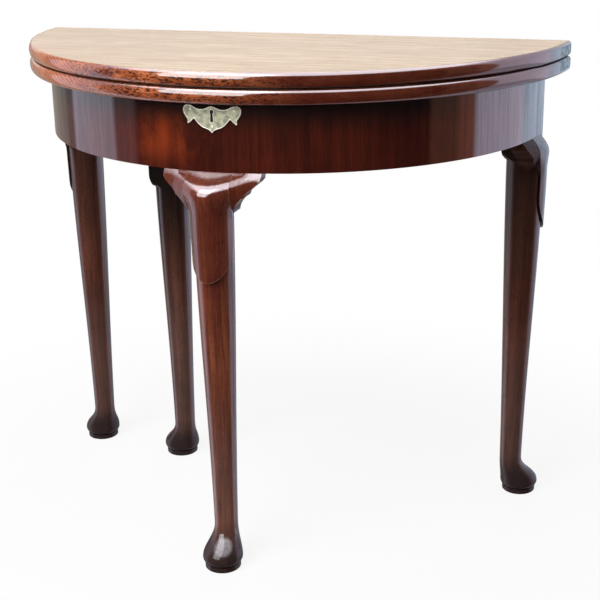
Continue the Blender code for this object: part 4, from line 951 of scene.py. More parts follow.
def smooth_by_angle(body: BMesh, degrees: float, flat_sharp: bool = False) -> None:
    """Shades faces smooth and keeps edges above an angle sharp.

    Args:
        body: the mesh.
        degrees: angle from which an edge stays sharp.
        flat_sharp: keeps the border of level faces sharp too.
    """
    level = 0.9999
    body.normal_update()
    for face in body.faces:
        face.smooth = True
    for edge in body.edges:
        edge.smooth = (len(edge.link_faces) == 2
                       and edge.calc_face_angle(0.0) < math.radians(degrees))
        if flat_sharp and len({abs(face.normal.z) > level for face in edge.link_faces}) == 2:
            edge.smooth = False


def welded(node: str) -> BMesh:
    """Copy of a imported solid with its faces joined.

    Args:
        node: name of the solid.

    Returns:
        The mesh in work.
    """
    body = bmesh.new()
    body.from_mesh(frame["nodes"][node].data)
    bmesh.ops.remove_doubles(body, verts=body.verts, dist=0.01 * MM)
    bmesh.ops.dissolve_degenerate(body, edges=body.edges, dist=0.002 * MM)
    for face in body.faces:
        face.material_index = 0
    return body


def cut(body: BMesh, place: Sequence[float], normal: Sequence[float]) -> None:
    """Cuts a mesh along a plane and keeps both sides."""
    bmesh.ops.bisect_plane(body, geom=[*body.verts, *body.edges, *body.faces], plane_co=place,
                           plane_no=normal)


def moved_corners(result: dict) -> list[bmesh.types.BMVert]:
    """Corners that an extrusion has added."""
    return [item for item in result["geom"] if isinstance(item, bmesh.types.BMVert)]


def lathe(profile: Sequence[Pair], sides: int, peak: float | None = None,
          facets: float = 0.0) -> BMesh:
    """Turned solid.

    Args:
        profile: radius and height of each row, from the foot up.
        sides: points round it.
        peak: height of the point that closes the top, None for a flat top.
        facets: share of the radius that hammered facets take away or add.

    Returns:
        The mesh in work.
    """
    body = bmesh.new()
    rows = []
    for number, (radius, height) in enumerate(profile):
        ring = []
        for side in range(sides):
            turn = 2 * math.pi * side / sides
            reach = radius * (1 + facets * math.cos(4 * turn + number))
            ring.append(body.verts.new((reach * math.cos(turn), reach * math.sin(turn), height)))
        rows.append(ring)
    tip = None if peak is None else body.verts.new((0, 0, peak))
    for low, high in zip(rows, rows[1:]):
        for i in range(sides):
            j = (i + 1) % sides
            body.faces.new((low[i], low[j], high[j], high[i]))
    if tip:
        for i in range(sides):
            body.faces.new((rows[-1][i], rows[-1][(i + 1) % sides], tip))
    else:
        body.faces.new(rows[-1])
    body.faces.new(list(reversed(rows[0])))
    return body


def settle(body: BMesh, part: BMesh, where: Matrix) -> None:
    """Moves a part to its place in another mesh and frees it.

    Args:
        body: mesh to add to.
        part: mesh to add.
        where: its place, Z out of the surface.
    """
    bmesh.ops.transform(part, matrix=where, verts=part.verts)
    scratch = bpy.data.meshes.new("scratch")
    part.to_mesh(scratch)
    part.free()
    body.from_mesh(scratch)
    bpy.data.meshes.remove(scratch)


# Screws and pins


@dataclass(frozen=True)
class Screw:
    """Slotted countersunk screw's head.

    Args:
        radius: radius of the head.
        proud: height of the head over the plate.
        slot_width: width of the slot.
        slot_depth: depth of the slot.
        sides: points round the head.
    """

    radius: float = 0.0024
    proud: float = 0.00012
    slot_width: float = 0.00055
    slot_depth: float = 0.0005
    sides: int = 28

    FOOT, SHOULDER, FLAT = 1.6, 0.5, 0.93  # of slot depth, of the height, of the radius

    def add(self, body: BMesh, where: Matrix) -> None:
        """Adds the head to a mesh.

        Args:
            body: mesh to add to.
            where: its place, Z out of the plate.
        """
        part = lathe(((self.radius, -self.FOOT * self.slot_depth),
                      (self.radius, self.SHOULDER * self.proud),
                      (self.FLAT * self.radius, self.proud)), self.sides)
        for side in (-0.5, 0.5):
            cut(part, (side * self.slot_width, 0, 0), (1, 0, 0))
        strip = [face for face in part.faces if face.normal.z > 0.9
                 and abs(face.calc_center_median().x) < 0.4 * self.slot_width]
        lowered = moved_corners(bmesh.ops.extrude_face_region(part, geom=strip))
        bmesh.ops.delete(part, geom=strip, context="FACES")
        bmesh.ops.translate(part, verts=lowered, vec=(0, 0, -self.slot_depth))
        settle(body, part, where)


@dataclass(frozen=True)
class Pin:
    """Head of a domed pin or nail.

    Args:
        radius: radius of the head.
        height: height of the dome.
        sides: points round the head.
        rings: rows up the dome.
        facets: depth of hammered facets, 0 for a smooth dome.
    """

    radius: float = 0.0015
    height: float = 0.0007
    sides: int = 20
    rings: int = 5
    facets: float = 0.0

    def add(self, body: BMesh, where: Matrix) -> None:
        """Adds the head to a mesh.

        Args:
            body: mesh to add to.
            where: its place, Z out of the plate.
        """
        angles = [math.pi / 2 * row / self.rings for row in range(self.rings)]
        profile = [(self.radius * math.cos(a), self.height * math.sin(a)) for a in angles]
        settle(body, lathe(profile, self.sides, self.height, self.facets), where)


def facing(normal: Vector, turn: float) -> Matrix:
    """Rotation that takes Z to a normal, after a turn about Z in radians."""
    return normal.to_track_quat("Z", "Y").to_matrix().to_4x4() @ Matrix.Rotation(turn, 4, "Z")


def seat(node: str, start: Vector, direction: Vector, turn: float) -> Matrix:
    """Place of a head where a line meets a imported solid.

    Args:
        node: name of the solid.
        start: start of the line.
        direction: its direction.
        turn: turn of the head, in radians.

    Returns:
        The place, Z out of the surface.
    """
    mesh = frame["nodes"][node].data
    surface = BVHTree.FromPolygons([corner.co for corner in mesh.vertices],
                                   [face.vertices for face in mesh.polygons])
    point, normal, _, _ = surface.ray_cast(start, direction)
    if point is None:
        raise ValueError(f"no surface of {node} there")
    return Matrix.Translation(point) @ facing(normal, turn)


def seats_behind(node: str, columns: dict[float, float], rows: Sequence[float]) -> list[Matrix]:
    """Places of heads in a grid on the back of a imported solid.

    Args:
        node: name of the solid.
        columns: share of its length to the turn of the heads there.
        rows: shares of its height, which also add to the turn.

    Returns:
        The places, Z out of the surface.
    """
    low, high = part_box(node)
    size = high - low
    clear = 10 * MM
    return [seat(node, Vector((low.x + share * size.x, high.y + clear, low.z + row * size.z)),
                 Vector((0, -1, 0)), turn + row)
            for share, turn in columns.items() for row in rows]


# Sub-assemblies


@dataclass
class SubAssembly:
    """Group of pieces that are dressed together.

    Args:
        palette: the finishes.
        sharp: angle in degrees from which an edge stays sharp.
    """

    palette: Palette
    sharp: float = 25.0

    def build(self) -> list[Object]:
        """Builds the pieces and returns them."""
        raise NotImplementedError

    def ride(self, name: str, body: BMesh, carrier: str,
             finishes: Sequence[str]) -> Object:
        """Makes a piece that rides on a body of the model.

        Args:
            name: the piece's name.
            body: its mesh in work.
            carrier: the body that carries it.
            finishes: names of its finishes.

        Returns:
            The piece.
        """
        made = finished(name, body, [self.palette.get(finish) for finish in finishes])
        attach(made, carrier)
        return made

    def stand_in(self, node: str, name: str, slot: str, body: BMesh,
                 *finishes: str) -> Object:
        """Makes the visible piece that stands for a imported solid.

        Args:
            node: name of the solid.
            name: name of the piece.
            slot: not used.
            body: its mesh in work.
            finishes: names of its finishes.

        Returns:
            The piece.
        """
        made = self.ride(name, body, frame["nodes"][node]["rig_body"], finishes)
        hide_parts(node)
        return made

    def dressed(self, node: str, name: str, slot: str, finish: str,
                sharp: float | None = None) -> Object:
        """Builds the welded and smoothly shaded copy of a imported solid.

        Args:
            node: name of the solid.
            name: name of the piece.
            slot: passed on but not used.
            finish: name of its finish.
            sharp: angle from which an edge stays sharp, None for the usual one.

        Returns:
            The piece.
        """
        body = welded(node)
        smooth_by_angle(body, self.sharp if sharp is None else sharp)
        return self.stand_in(node, name, slot, body, finish)

    def fitting(self, name: str, body: BMesh, carrier: str, slot: str, finish: str,
                sharp: float = 40.0) -> Object:
        """Makes a piece that is only in this file, such as screw heads.

        Args:
            name: the piece's name.
            body: its mesh in work.
            carrier: the body that carries it.
            slot: not used.
            finish: name of its finish.
            sharp: angle from which an edge stays sharp.

        Returns:
            The piece.
        """
        bmesh.ops.recalc_face_normals(body, faces=body.faces)
        smooth_by_angle(body, sharp)
        return self.ride(name, body, carrier, (finish,))

    def heads(self, name: str, head: Screw | Pin, places: Sequence[Matrix], carrier: str,
              slot: str, finish: str, sharp: float = 40.0) -> Object:
        """Makes one piece of several screw or pin heads.

        Args:
            name: the piece's name.
            head: the head.
            places: place of each, Z out of the surface.
            carrier: the body that carries them.
            slot: passed on but not used.
            finish: name of their finish.
            sharp: angle from which an edge stays sharp.

        Returns:
            The piece.
        """
        body = bmesh.new()
        for place in places:
            head.add(body, place)
        return self.fitting(name, body, carrier, slot, finish, sharp)

    def keep(self, node: str, finish: str) -> None:
        """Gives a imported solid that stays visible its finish.

        Args:
            node: name of the solid.
            finish: name of its finish.
        """
        held = frame["nodes"][node].data.materials
        held.clear()
        held.append(self.palette.get(finish))


@dataclass
class Top(SubAssembly):
    """The two leaves: faded outside with a painted sheen on the top, polished where they meet,
    plain underneath.

    Args:
        reach: how far the round of the edge draws in at the top and at the underside.
        rows: heights of the added rows, as shares of half the thickness.
        edge: width of the band that is reshaped.
        ends: angles from straight ahead between which the round fades out before the straps.
        level: upward part of a normal from which a face is level.
    """

    sharp: float = 24.0
    reach: float = 0.0066
    rows: tuple[float, ...] = (-0.94, -0.85, -0.70, -0.50, -0.25, 0.0, 0.25, 0.50, 0.70, 0.85,
                               0.94)
    edge: float = 0.0060
    ends: Pair = (math.radians(64.0), math.radians(73.0))
    level: float = 0.985

    LEAVES = {"upper_leaf": ("leaf_upper", "leaf_top_faded_sheen", "leaf_inside"),
              "lower_leaf": ("leaf_lower", "leaf_inside", "leaf_under")}

    def build(self) -> list[Object]:
        """Builds both leaves.

        Returns:
            The pieces.
        """
        made = []
        for node, (name, above, below) in self.LEAVES.items():
            body = welded(node)
            self.round_edge(body, *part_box(node))
            smooth_by_angle(body, self.sharp, flat_sharp=True)
            for face in body.faces:
                up = face.normal.z
                face.material_index = 0 if up > self.level else 2 if up < -self.level else 1
            made.append(self.stand_in(node, name, "mahogany_top", body, above, "leaf_edge", below))
        return made

    def round_edge(self, body: BMesh, low: Vector, high: Vector) -> None:
        """Draws the edge in to a full round, always within the solid.

        Args:
            body: the leaf's mesh.
            low: lowest corner of the solid.
            high: highest corner of the solid.
        """
        half_width, depth = (high.x - low.x) / 2, high.y - low.y
        radius = (half_width ** 2 + depth ** 2) / (2 * depth)
        centre = Vector(((low.x + high.x) / 2, low.y + radius, 0.0))
        middle, half = (low.z + high.z) / 2, (high.z - low.z) / 2
        begin, end = self.ends
        for share in self.rows:
            cut(body, (0, 0, middle + share * half), (0, 0, 1))
        for corner in body.verts:
            out = Vector((corner.co.x - centre.x, corner.co.y - centre.y, 0.0))
            inset = radius - out.length
            angle = math.atan2(abs(out.x), -out.y)
            keep = min(max((end - angle) / (end - begin), 0.0), 1.0)
            share = min(max((corner.co.z - middle) / half, -1.0), 1.0)
            wanted = keep * self.reach * (1.0 - math.sqrt(1.0 - share * share))
            if -0.5 * MM < inset < self.edge and wanted > inset:
                corner.co -= out.normalized() * (wanted - inset)


@dataclass
class CardTableHinges(SubAssembly):
    """Brass straps in the leaves' ends, their links and screws.

    Args:
        screw: a strap's screw.
        shares: places of the screws along a strap, from its front end.
        clear: how far outside the strap the search line starts.
        turn: turn of the first screw's slot, the next ones being a radian further.
    """

    screw: Screw = Screw(proud=0.00006)
    shares: tuple[float, ...] = (0.14, 0.44, 0.72)
    clear: float = 0.05
    turn: float = 0.6

    def build(self) -> list[Object]:
        """Dresses straps and links and adds the screws.

        Returns:
            The pieces.
        """
        sides = {"left": -1.0, "right": 1.0}
        made = []
        for level in ("upper", "lower"):
            for side, sign in sides.items():
                node = f"strap_{level}_{side}"
                made += [self.dressed(node, f"brass_{node}", "brass", "strap_patina_and_reflection"),
                         self.screws(node, sign)]
        return made + [self.dressed(f"hinge_link_{side}", f"brass_link_{side}", "brass", "brass")
                       for side in sides]

    def screws(self, node: str, sign: float) -> Object:
        """Adds a strap's screws.

        Args:
            node: the strap.
            sign: -1 at the left end, 1 at the right end.

        Returns:
            The screws.
        """
        low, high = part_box(node)
        outside = (high.x if sign > 0 else low.x) + sign * self.clear
        places = [seat(node, Vector((outside, low.y + share * (high.y - low.y),
                                     (low.z + high.z) / 2)), Vector((-sign, 0, 0)),
                       self.turn + number)
                  for number, share in enumerate(self.shares)]
        return self.heads(f"screws_{node}", self.screw, places, frame["nodes"][node]["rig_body"],
                          "brass", "strap_patina_and_reflection")


@dataclass
class Frieze(SubAssembly):
    """Veneered frieze on its curved core."""

    sharp: float = 30.0

    def build(self) -> list[Object]:
        """Builds the three sheets of veneer and the three parts of the core.

        Returns:
            The pieces.
        """
        made = []
        for place in ("left", "centre", "right"):
            made += [self.dressed(f"frieze_veneer_{place}", f"veneer_{place}", "mahogany_veneer",
                                  "veneer"),
                     self.dressed(f"frieze_core_{place}", f"core_{place}", "pine", "pine_curved")]
        return made


@dataclass
class Legs(SubAssembly):
    """The three fixed legs with their knees, the gate leg and the scrolled ears."""

    sharp: float = 38.0

    LEGS = {"leg_front": ("front", "leg_wood"), "leg_left": ("left", "shaded_back_leg_wood"),
            "leg_right": ("right", "shaded_back_leg_wood"), "gate_leg": ("gate", "shaded_gate_wood")}
    EARS = {"front_left": "ear_wood", "front_right": "ear_wood",
            "left_front": "shaded_ear_wood", "left_back": "shaded_ear_wood",
            "right_front": "shaded_ear_wood", "right_back": "shaded_ear_wood"}

    def build(self) -> list[Object]:
        """Builds legs and ears.

        Returns:
            The pieces.
        """
        legs = [self.dressed(node, f"turned_leg_{place}", "mahogany_leg", wood)
                for node, (place, wood) in self.LEGS.items()]
        return legs + [self.dressed(f"ear_{place}", f"scroll_{place}", "mahogany_leg", wood)
                       for place, wood in self.EARS.items()]


def through(points: Sequence[Pair], steps: int = 4) -> list[Pair]:
    """Smooth run through points, ends included.

    Args:
        points: the points.
        steps: parts between two points.

    Returns:
        The finer points.
    """
    padded = [points[0], *points, points[-1]]
    made = []
    for a, b, c, d in zip(padded, padded[1:], padded[2:], padded[3:]):
        for step in range(steps):
            t = step / steps
            made.append(tuple(0.5 * (2 * q + (r - p) * t + (2 * p - 5 * q + 4 * r - s) * t * t
                                     + (3 * q - p - 3 * r + s) * t ** 3)
                              for p, q, r, s in zip(a, b, c, d)))
    return [*made, points[-1]]


@dataclass
class Escutcheon(SubAssembly):
    """Shaped brass plate with a raised rim, a lined keyhole and pins.

    Outlines are in millimetres: half widths and heights above the floor.

    Args:
        wing: right half from the top of the middle to the tip of the wing.
        notch: from that tip to the notch.
        belly: from the notch to the point below.
        hole: height of the keyhole's round, its radius, half width and height of its neck,
            half width and height of its foot.
        front: radius of the plate's front face.
        back: radius of its back face.
        behind: how far the centre of both lies behind the back plane.
        strip: width of the strips that follow the curve.
        rim: radius of the raised rim.
        lining: radius of the rim round the keyhole.
        dark: front and back of the black sheet of painted shade behind the keyhole, measured back
            from the plate.
        pins: places of the pins, (x, z) in metres.
        pin: a pin.
        wider: width of the black sheet of painted shade in widths of the keyhole.
        bead_sharp: angle from which an edge of a bead stays sharp.
        pin_sharp: angle from which an edge of a pin stays sharp.
    """

    sharp: float = 30.0
    wing: tuple[Pair, ...] = (
        (0.0, 672.0), (4.9, 670.5), (10.4, 668.2), (17.2, 667.6), (23.0, 669.1), (27.8, 671.6),
        (33.4, 672.9), (37.5, 671.7), (39.7, 668.2), (39.2, 663.4), (36.6, 658.6), (33.8, 654.8),
        (33.6, 651.7), (34.1, 649.2))
    notch: tuple[Pair, ...] = ((34.1, 649.2), (31.0, 651.2), (27.6, 654.4), (24.6, 656.4))
    belly: tuple[Pair, ...] = (
        (24.6, 656.4), (22.3, 653.4), (17.8, 648.4), (12.2, 644.7), (6.2, 642.7), (2.2, 640.4),
        (0.0, 638.1))
    hole: tuple[float, ...] = (665.2, 3.1, 1.9, 661.6, 2.8, 651.6)
    front: float = 0.38672
    back: float = 0.38542
    behind: float = 0.01572
    strip: float = 0.004
    rim: float = 0.00062
    lining: float = 0.00050
    dark: Pair = (0.00008, 0.00020)
    pins: tuple[Pair, ...] = ((-0.0251, 0.6673), (0.0358, 0.6670), (0.0054, 0.6459))
    pin: Pin = Pin()
    wider: float = 1.2
    bead_sharp: float = 80.0
    pin_sharp: float = 60.0

    NODE, CARRIER, SLOT = "escutcheon", "frame", "aged_brass"

    def __post_init__(self) -> None:
        """Finds the plate's middle."""
        low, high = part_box(self.NODE)
        self.middle = (low.x + high.x) / 2

    def placed(self, loop: Sequence[Pair]) -> list[Pair]:
        """Outline in metres round the plate's middle."""
        return [(self.middle + x * MM, z * MM) for x, z in loop]

    def outline(self) -> list[Pair]:
        """Outline of the plate.

        Returns:
            Its points (x, z), without the first one again at the end.
        """
        half = [*through(self.wing)[:-1], *through(self.notch)[:-1], *through(self.belly)]
        return self.placed(half + [(-x, z) for x, z in reversed(half[1:-1])])

    def keyhole(self) -> list[Pair]:
        """Outline of the keyhole.

        Returns:
            Its points (x, z).
        """
        height, radius, neck, neck_height, foot, foot_height = self.hole
        steps = 18
        begin = math.asin(neck / radius)
        turns = [begin + (2 * math.pi - 2 * begin) * i / steps for i in range(steps + 1)]
        return self.placed([
            *((radius * math.sin(turn), height - radius * math.cos(turn)) for turn in turns),
            (-neck, neck_height), (-foot, foot_height), (foot, foot_height), (neck, neck_height)])

    def on_curve(self, x: float, z: float, radius: float) -> Vector:
        """Point of that x and z on a curve that runs with the frieze."""
        return Vector((x, BACK_Y + self.behind - math.sqrt(radius * radius - x * x), z))

    def sheet(self, loops: Sequence[Sequence[Pair]], front: float, back: float) -> BMesh:
        """Curved sheet inside outlines.

        Args:
            loops: the outlines, holes included.
            front: radius of its front face.
            back: radius of its back face.

        Returns:
            The mesh in work.
        """
        body = bmesh.new()
        edges = []
        for loop in loops:
            corners = [body.verts.new((x, 0.0, z)) for x, z in loop]
            edges += [body.edges.new((corners[i - 1], corners[i])) for i in range(len(corners))]
        bmesh.ops.triangle_fill(body, use_beauty=True, edges=edges, normal=(0, -1, 0))
        count = int(max(abs(x - self.middle) for x, _ in loops[0]) / self.strip)
        for number in range(-count, count + 1):
            cut(body, (self.middle + number * self.strip, 0, 0), (1, 0, 0))
        fore = set(moved_corners(bmesh.ops.extrude_face_region(body, geom=list(body.faces))))
        for corner in body.verts:
            corner.co = self.on_curve(corner.co.x, corner.co.z, front if corner in fore else back)
        bmesh.ops.recalc_face_normals(body, faces=body.faces)
        return body

    def bead(self, name: str, outline: Sequence[Pair], radius: float) -> Object:
        """Runs a round bead along an outline of the front face.

        Args:
            name: the piece's name.
            outline: the outline.
            radius: the bead's radius.

        Returns:
            The bead.
        """
        sides = 8
        loop = [self.on_curve(x, z, self.front) for x, z in outline]
        count = len(loop)
        body = bmesh.new()
        rows = []
        for i, here in enumerate(loop):
            along = (loop[(i + 1) % count] - loop[i - 1]).normalized()
            side = Vector((-along.z, 0, along.x))
            rows.append([body.verts.new(here + side * radius * math.cos(turn)
                                        - Vector((0, 1, 0)) * radius * math.sin(turn))
                         for turn in (2 * math.pi * k / sides for k in range(sides))])
        for i, low in enumerate(rows):
            high = rows[(i + 1) % count]
            for k in range(sides):
                j = (k + 1) % sides
                body.faces.new((low[k], low[j], high[j], high[k]))
        return self.fitting(name, body, self.CARRIER, self.SLOT, "rim_brass",
                            self.bead_sharp)

    def build(self) -> list[Object]:
        """Builds plate, a black sheet of painted shade behind the keyhole, rim, keyhole lining and
        the pins.

        Returns:
            The pieces.
        """
        outline, keyhole = self.outline(), self.keyhole()
        wider = [(self.middle + self.wider * (x - self.middle), z) for x, z in keyhole]
        behind = [self.back - depth for depth in self.dark]
        plate = self.fitting("keyhole_plate", self.sheet([outline, keyhole], self.front, self.back),
                             self.CARRIER, self.SLOT, "aged_brass", self.sharp)
        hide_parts(self.NODE)
        # black sheet behind the keyhole: painted shade of the hole's inside
        dark = self.fitting("keyhole_shade_sheet", self.sheet([wider], *behind), self.CARRIER, self.SLOT,
                            "keyhole_shade_black", self.sharp)
        places = []
        for x, z in self.pins:
            place = self.on_curve(x, z, self.front)
            out = (place - Vector((0.0, BACK_Y + self.behind, z))).normalized()
            places.append(Matrix.Translation(place) @ facing(out, 0.0))
        return [plate, dark, self.bead("plate_rim", outline, self.rim),
                self.bead("keyhole_lining", keyhole, self.lining),
                self.heads("plate_pins", self.pin, places, self.CARRIER, self.SLOT, "rim_brass",
                           self.pin_sharp)]


@dataclass
class Carcase(SubAssembly):
    """Rails, blocks and boards behind and under the frieze, with their nails.

    Args:
        nail: a hand-made nail.
        rows: shares of a rail's height where nails sit.
        nail_sharp: angle from which an edge of a nail stays sharp.
    """

    nail: Pin = Pin(radius=0.0030, height=0.0011, sides=12, rings=3, facets=0.16)
    rows: Pair = (0.28, 0.72)
    nail_sharp: float = 20.0

    SOLIDS = {"inner_rail": "oak", "fixed_block": "oak", "bottom_board": "pine",
              "glue_block_1": "pine", "glue_block_2": "pine", "glue_block_3": "pine",
              "glue_block_4": "pine", "knuckle_pin": "iron"}
    KNUCKLES = ("knuckle_rail", "fly_rail")
    NAILED = {"fixed_block": {0.15: 0.0, 0.80: 0.4}, "knuckle_rail": {0.45: 0.0, 0.90: 0.4}}

    def build(self) -> list[Object]:
        """Finishes rails and boards and adds the nails.

        Returns:
            The pieces that were added.
        """
        for node, finish in self.SOLIDS.items():
            self.keep(node, finish)
        made = [self.dressed(node, f"oak_{node}", "oak", "oak") for node in self.KNUCKLES]
        return made + [self.heads(f"nails_{node}", self.nail,
                                  seats_behind(node, columns, self.rows), "frame", "iron",
                                  "iron", self.nail_sharp)
                       for node, columns in self.NAILED.items()]


@dataclass
class LockWork(SubAssembly):
    """Lock case, cap and bolt, and the link plate under the lid.

    Args:
        screw: a screw of the cap.
        columns: shares of the cap's length where screws sit, with their turns.
        rows: shares of its height.
    """

    screw: Screw = Screw(radius=0.0021)
    columns: Pair = (0.10, 0.90)
    rows: Pair = (0.16, 0.84)

    def build(self) -> list[Object]:
        """Finishes the lock and adds its screws.

        Returns:
            The pieces that were added.
        """
        for node in ("lock_case", "lock_cap", "lock_bolt"):
            self.keep(node, "iron")
        self.keep("link_plate", "brass")
        places = seats_behind("lock_cap", {share: share for share in self.columns}, self.rows)
        return [self.heads("screws_lock", self.screw, places, "frame", "iron", "iron")]


@dataclass
class LidHinges(SubAssembly):
    """Butt hinges of the lid, with their pins.

    Args:
        pin_sharp: angle from which an edge of a pin stays sharp.
    """

    pin_sharp: float = 40.0

    def build(self) -> list[Object]:
        """Dresses the hinges' leaves and pins.

        Returns:
            The pieces.
        """
        made = []
        for side in ("left", "right"):
            made += [self.dressed(f"lid_hinge_{part}_{side}", f"butt_{part}_{side}", "brass",
                                  "brass") for part in ("fixed", "moving")]
            made.append(self.dressed(f"lid_pin_{side}", f"butt_pin_{side}", "brass", "brass",
                                     self.pin_sharp))
        return made


# Surroundings


@dataclass(frozen=True)
class Lamp:
    """Rectangular soft lamp.

    Args:
        name: the lamp's name.
        place: its centre.
        aim: the point that it faces.
        size: its width and height.
        radiance: brightness of its face.
        colour: its colour.
        mirrored: whether the polish mirrors it.
    """

    name: str
    place: Triple
    aim: Triple
    size: Pair
    radiance: float
    colour: Triple
    mirrored: bool = True

    def add(self) -> None:
        """Puts the lamp into the scene."""
        data = bpy.data.lights.new(self.name, "AREA")
        data.shape = "RECTANGLE"
        data.size, data.size_y = self.size
        data.energy = self.radiance * math.pi * self.size[0] * self.size[1]
        data.color = self.colour
        made = link(self.name, data)
        made.location = self.place
        ahead = Vector(self.aim) - Vector(self.place)
        made.rotation_euler = ahead.to_track_quat("-Z", "Y").to_euler()
        made.visible_camera = False
        made.visible_glossy = self.mirrored


class Studio:
    """Floor, light, surroundings and camera."""

    CAMERA_PLACE = (0.6296, -1.70205, 0.9705)
    YAW, PITCH, ROLL = 0.3206, 0.3307, -0.0167
    LENS, SENSOR = 76.56, 36.0
    CLIP = (0.05, 30.0)
    FLOOR_RADIUS, FLOOR_Z = 1.15, -0.0003
    FLOOR_COLOUR = (0.80, 0.79, 0.78)
    FLOOR_FADE = (0.30, 0.90, 0.88, 1.0)  # from and to, in radii; plain white's share there
    WHITE = (1.0, 1.0, 1.0)
    FILL_COLOUR, FILL_STRENGTH = (1.0, 0.985, 0.965), 0.24
    BLUR = 1.2  # degrees on each side of a change between walls
    BRIGHTEST = 2.6
    WALLS = (  # degree where each wall begins, 0 being straight ahead of the front; its colour
        (-180.0, (0.171, 0.158, 0.142)), (-114.0, (0.09, 0.085, 0.09)),
        (-106.0, (0.41, 0.40, 0.48)), (-73.0, (0.11, 0.08, 0.09)),
        (-60.0, (0.004, 0.004, 0.005)), (77.0, (0.105, 0.050, 0.035)),
        (92.0, (0.23, 0.09, 0.065)), (102.0, (0.63, 0.56, 0.70)),
        (138.0, (0.44, 0.52, 0.65)), (170.0, (0.12, 0.13, 0.14)))
    BACK_WALL = (1.08, 1.02, 0.94)
    BACK_LEFT = (math.radians(-120.0), math.radians(-132.0))
    BACK_RIGHT = (math.radians(160.0), math.radians(170.0))
    BACK_RISE = (0.02, 0.12)
    BELOW, BELOW_RIGHT, BELOW_DARK = (-0.23, -0.36), (0.0, 0.2), 0.50
    CEILING, CEILING_RISE = (7.2, 7.0, 7.6), (0.62, 0.82)
    LAMPS = (
        Lamp("window", (-0.62, -1.55, 1.88), (0.0, 0.0, 0.45), (1.45, 2.30), 6.9,
             (0.97, 0.985, 1.0)),
        Lamp("low_fill", (-0.35, 2.20, 0.62), (0.0, 0.2, 0.50), (1.80, 0.70), 3.2,
             (1.0, 0.97, 0.93), mirrored=False))

    def build(self) -> None:
        """Builds everything around the object."""
        self.camera()
        self.floor()
        for lamp in self.LAMPS:
            lamp.add()
        self.world()

    def camera(self) -> None:
        """Places the camera at the photograph's viewpoint."""
        data = bpy.data.cameras.new("camera")
        data.lens, data.sensor_width = self.LENS, self.SENSOR
        data.clip_start, data.clip_end = self.CLIP
        made = link("camera", data)
        forward = Vector((-math.sin(self.YAW) * math.cos(self.PITCH),
                          math.cos(self.YAW) * math.cos(self.PITCH), -math.sin(self.PITCH)))
        level = Vector((math.cos(self.YAW), math.sin(self.YAW), 0.0))
        upward = level.cross(forward)
        right = math.cos(self.ROLL) * level + math.sin(self.ROLL) * upward
        top = -math.sin(self.ROLL) * level + math.cos(self.ROLL) * upward
        turned = Matrix((right, top, -forward)).transposed().to_4x4()
        made.matrix_world = Matrix.Translation(self.CAMERA_PLACE) @ turned
        bpy.context.scene.camera = made

    @staticmethod
    def mirrored(tree: Tree, rays: Node) -> Socket:
        """Mask of the rays that a polish mirrors or lets through."""
        return tree.math("MAXIMUM", rays.outputs["Is Glossy Ray"],
                         rays.outputs["Is Transmission Ray"])

    def floor(self) -> None:
        """Lays a plain pale floor that keeps the object's shadow and isn't mirrored."""
        material = bpy.data.materials.new("pale_floor")
        tree = new_tree(material)
        matt = tree.add("BsdfDiffuse", {"Color": self.FLOOR_COLOUR})
        light = tree.add("Emission", {"Color": self.WHITE, "Strength": 1.0})
        away = tree.add("VectorMath", {0: tree.add("TexCoord").outputs["Object"]},
                        operation="LENGTH").outputs["Value"]
        begin, end, near, far = self.FLOOR_FADE
        plain = tree.ramp(away, begin * self.FLOOR_RADIUS, end * self.FLOOR_RADIUS, near, far)
        rays = tree.add("LightPath")
        seen = tree.times(rays.outputs["Is Camera Ray"], plain)
        final = tree.mix_shaders(self.mirrored(tree, rays), tree.mix_shaders(seen, matt, light),
                                 tree.add("BsdfTransparent"))
        tree.add("OutputMaterial", {0: final.outputs[0]})
        body = bmesh.new()
        bmesh.ops.create_circle(body, cap_ends=True, segments=96, radius=self.FLOOR_RADIUS)
        made = finished("floor", body, [material])
        made.location.z = self.FLOOR_Z
        made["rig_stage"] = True

    def walls(self, tree: Tree, angle: Socket) -> Socket:
        """Walls all round, before the brighter ones behind.

        Args:
            tree: tree to add to.
            angle: direction round the object, in radians.

        Returns:
            The colour.
        """
        share = tree.math("DIVIDE", tree.plus(angle, math.pi), 2 * math.pi)
        walls = tree.add("ValToRGB", {0: share})
        stops = walls.color_ramp.elements
        while len(stops) > 1:
            stops.remove(stops[-1])
        stops[0].position = 0.0
        stops[0].color = (*self.WALLS[0][1], 1.0)
        for (_, before), (begin, colour) in zip(self.WALLS, self.WALLS[1:]):
            stops.new((begin - self.BLUR + 180.0) / 360.0).color = (*before, 1.0)
            stops.new((begin + self.BLUR + 180.0) / 360.0).color = (*colour, 1.0)
        return tree.add("VectorMath", {0: walls.outputs[0], "Scale": self.BRIGHTEST},
                        operation="SCALE").outputs[0]

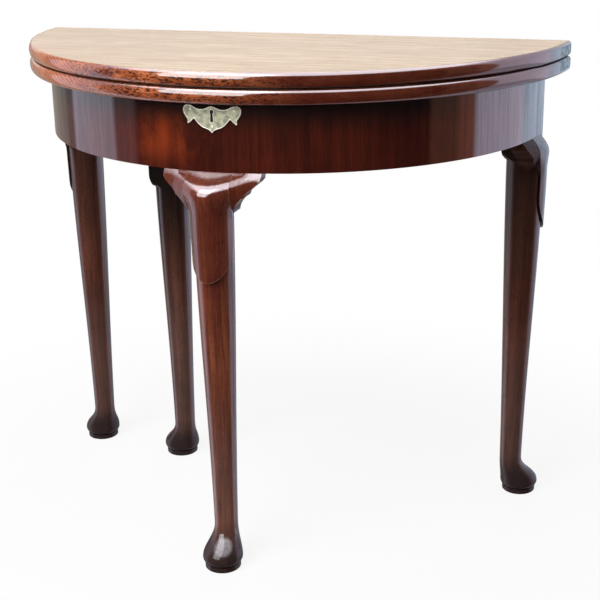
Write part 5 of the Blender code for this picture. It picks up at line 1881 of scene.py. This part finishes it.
    def around(self, tree: Tree) -> Socket:
        """Surroundings as the polish mirrors them: dark in front, pale walls at the sides.

        Args:
            tree: tree to add to.

        Returns:
            The colour.
        """
        across, depth, up = tree.parts(tree.add("TexCoord").outputs["Generated"])
        angle = tree.math("ARCTAN2", across, tree.times(depth, -1.0))
        back = tree.math("MAXIMUM", tree.ramp(angle, *self.BACK_LEFT),
                         tree.ramp(angle, *self.BACK_RIGHT))
        back = tree.times(back, tree.ramp(up, *self.BACK_RISE))
        below = tree.times(tree.ramp(up, *self.BELOW, 0.0, self.BELOW_DARK),
                           tree.ramp(angle, *self.BELOW_RIGHT))
        colour = tree.mix(below, self.walls(tree, angle), (0.0, 0.0, 0.0))
        colour = tree.mix(back, colour, self.BACK_WALL)
        return tree.mix(tree.ramp(up, *self.CEILING_RISE), colour, self.CEILING)

    def world(self) -> None:
        """Sets pale surroundings, dark in front as in the photograph, and a white background."""
        world = bpy.data.worlds.new("studio")
        bpy.context.scene.world = world
        tree = new_tree(world)
        rays = tree.add("LightPath")
        around = tree.add("Background", {"Color": self.around(tree), "Strength": 1.0})
        fill = tree.add("Background", {"Color": self.FILL_COLOUR, "Strength": self.FILL_STRENGTH})
        white = tree.add("Background", {"Color": self.WHITE, "Strength": 1.0})
        lit = tree.mix_shaders(self.mirrored(tree, rays), fill, around)
        final = tree.mix_shaders(rays.outputs["Is Camera Ray"], lit, white)
        tree.add("OutputWorld", {0: final.outputs[0]})
        bpy.context.scene.view_settings.view_transform = "Standard"


def clear_others() -> None:
    """Removes objects that aren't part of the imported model."""
    kept = {item.name for kind in ("bodies", "nodes") for item in frame[kind].values()}
    for item in list(bpy.data.objects):
        if item.name not in kept:
            bpy.data.objects.remove(item)


def corners() -> list[list[float]]:
    """Lowest and highest corner of the object as plain lists."""
    return [[float(part) for part in corner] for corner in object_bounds()]


def main() -> None:
    """Builds the whole scene."""
    logging.basicConfig(level=logging.INFO, format="%(name)s: %(message)s")
    clear_others()
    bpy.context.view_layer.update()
    palette = Palette()
    for part in (Top, CardTableHinges, Frieze, Legs, Escutcheon, Carcase, LockWork, LidHinges):
        for piece in part(palette).build():
            log.info("%s: %s, %d faces", part.__name__, piece.name, len(piece.data.polygons))
    Studio().build()


if __name__ == "__main__":
    main()
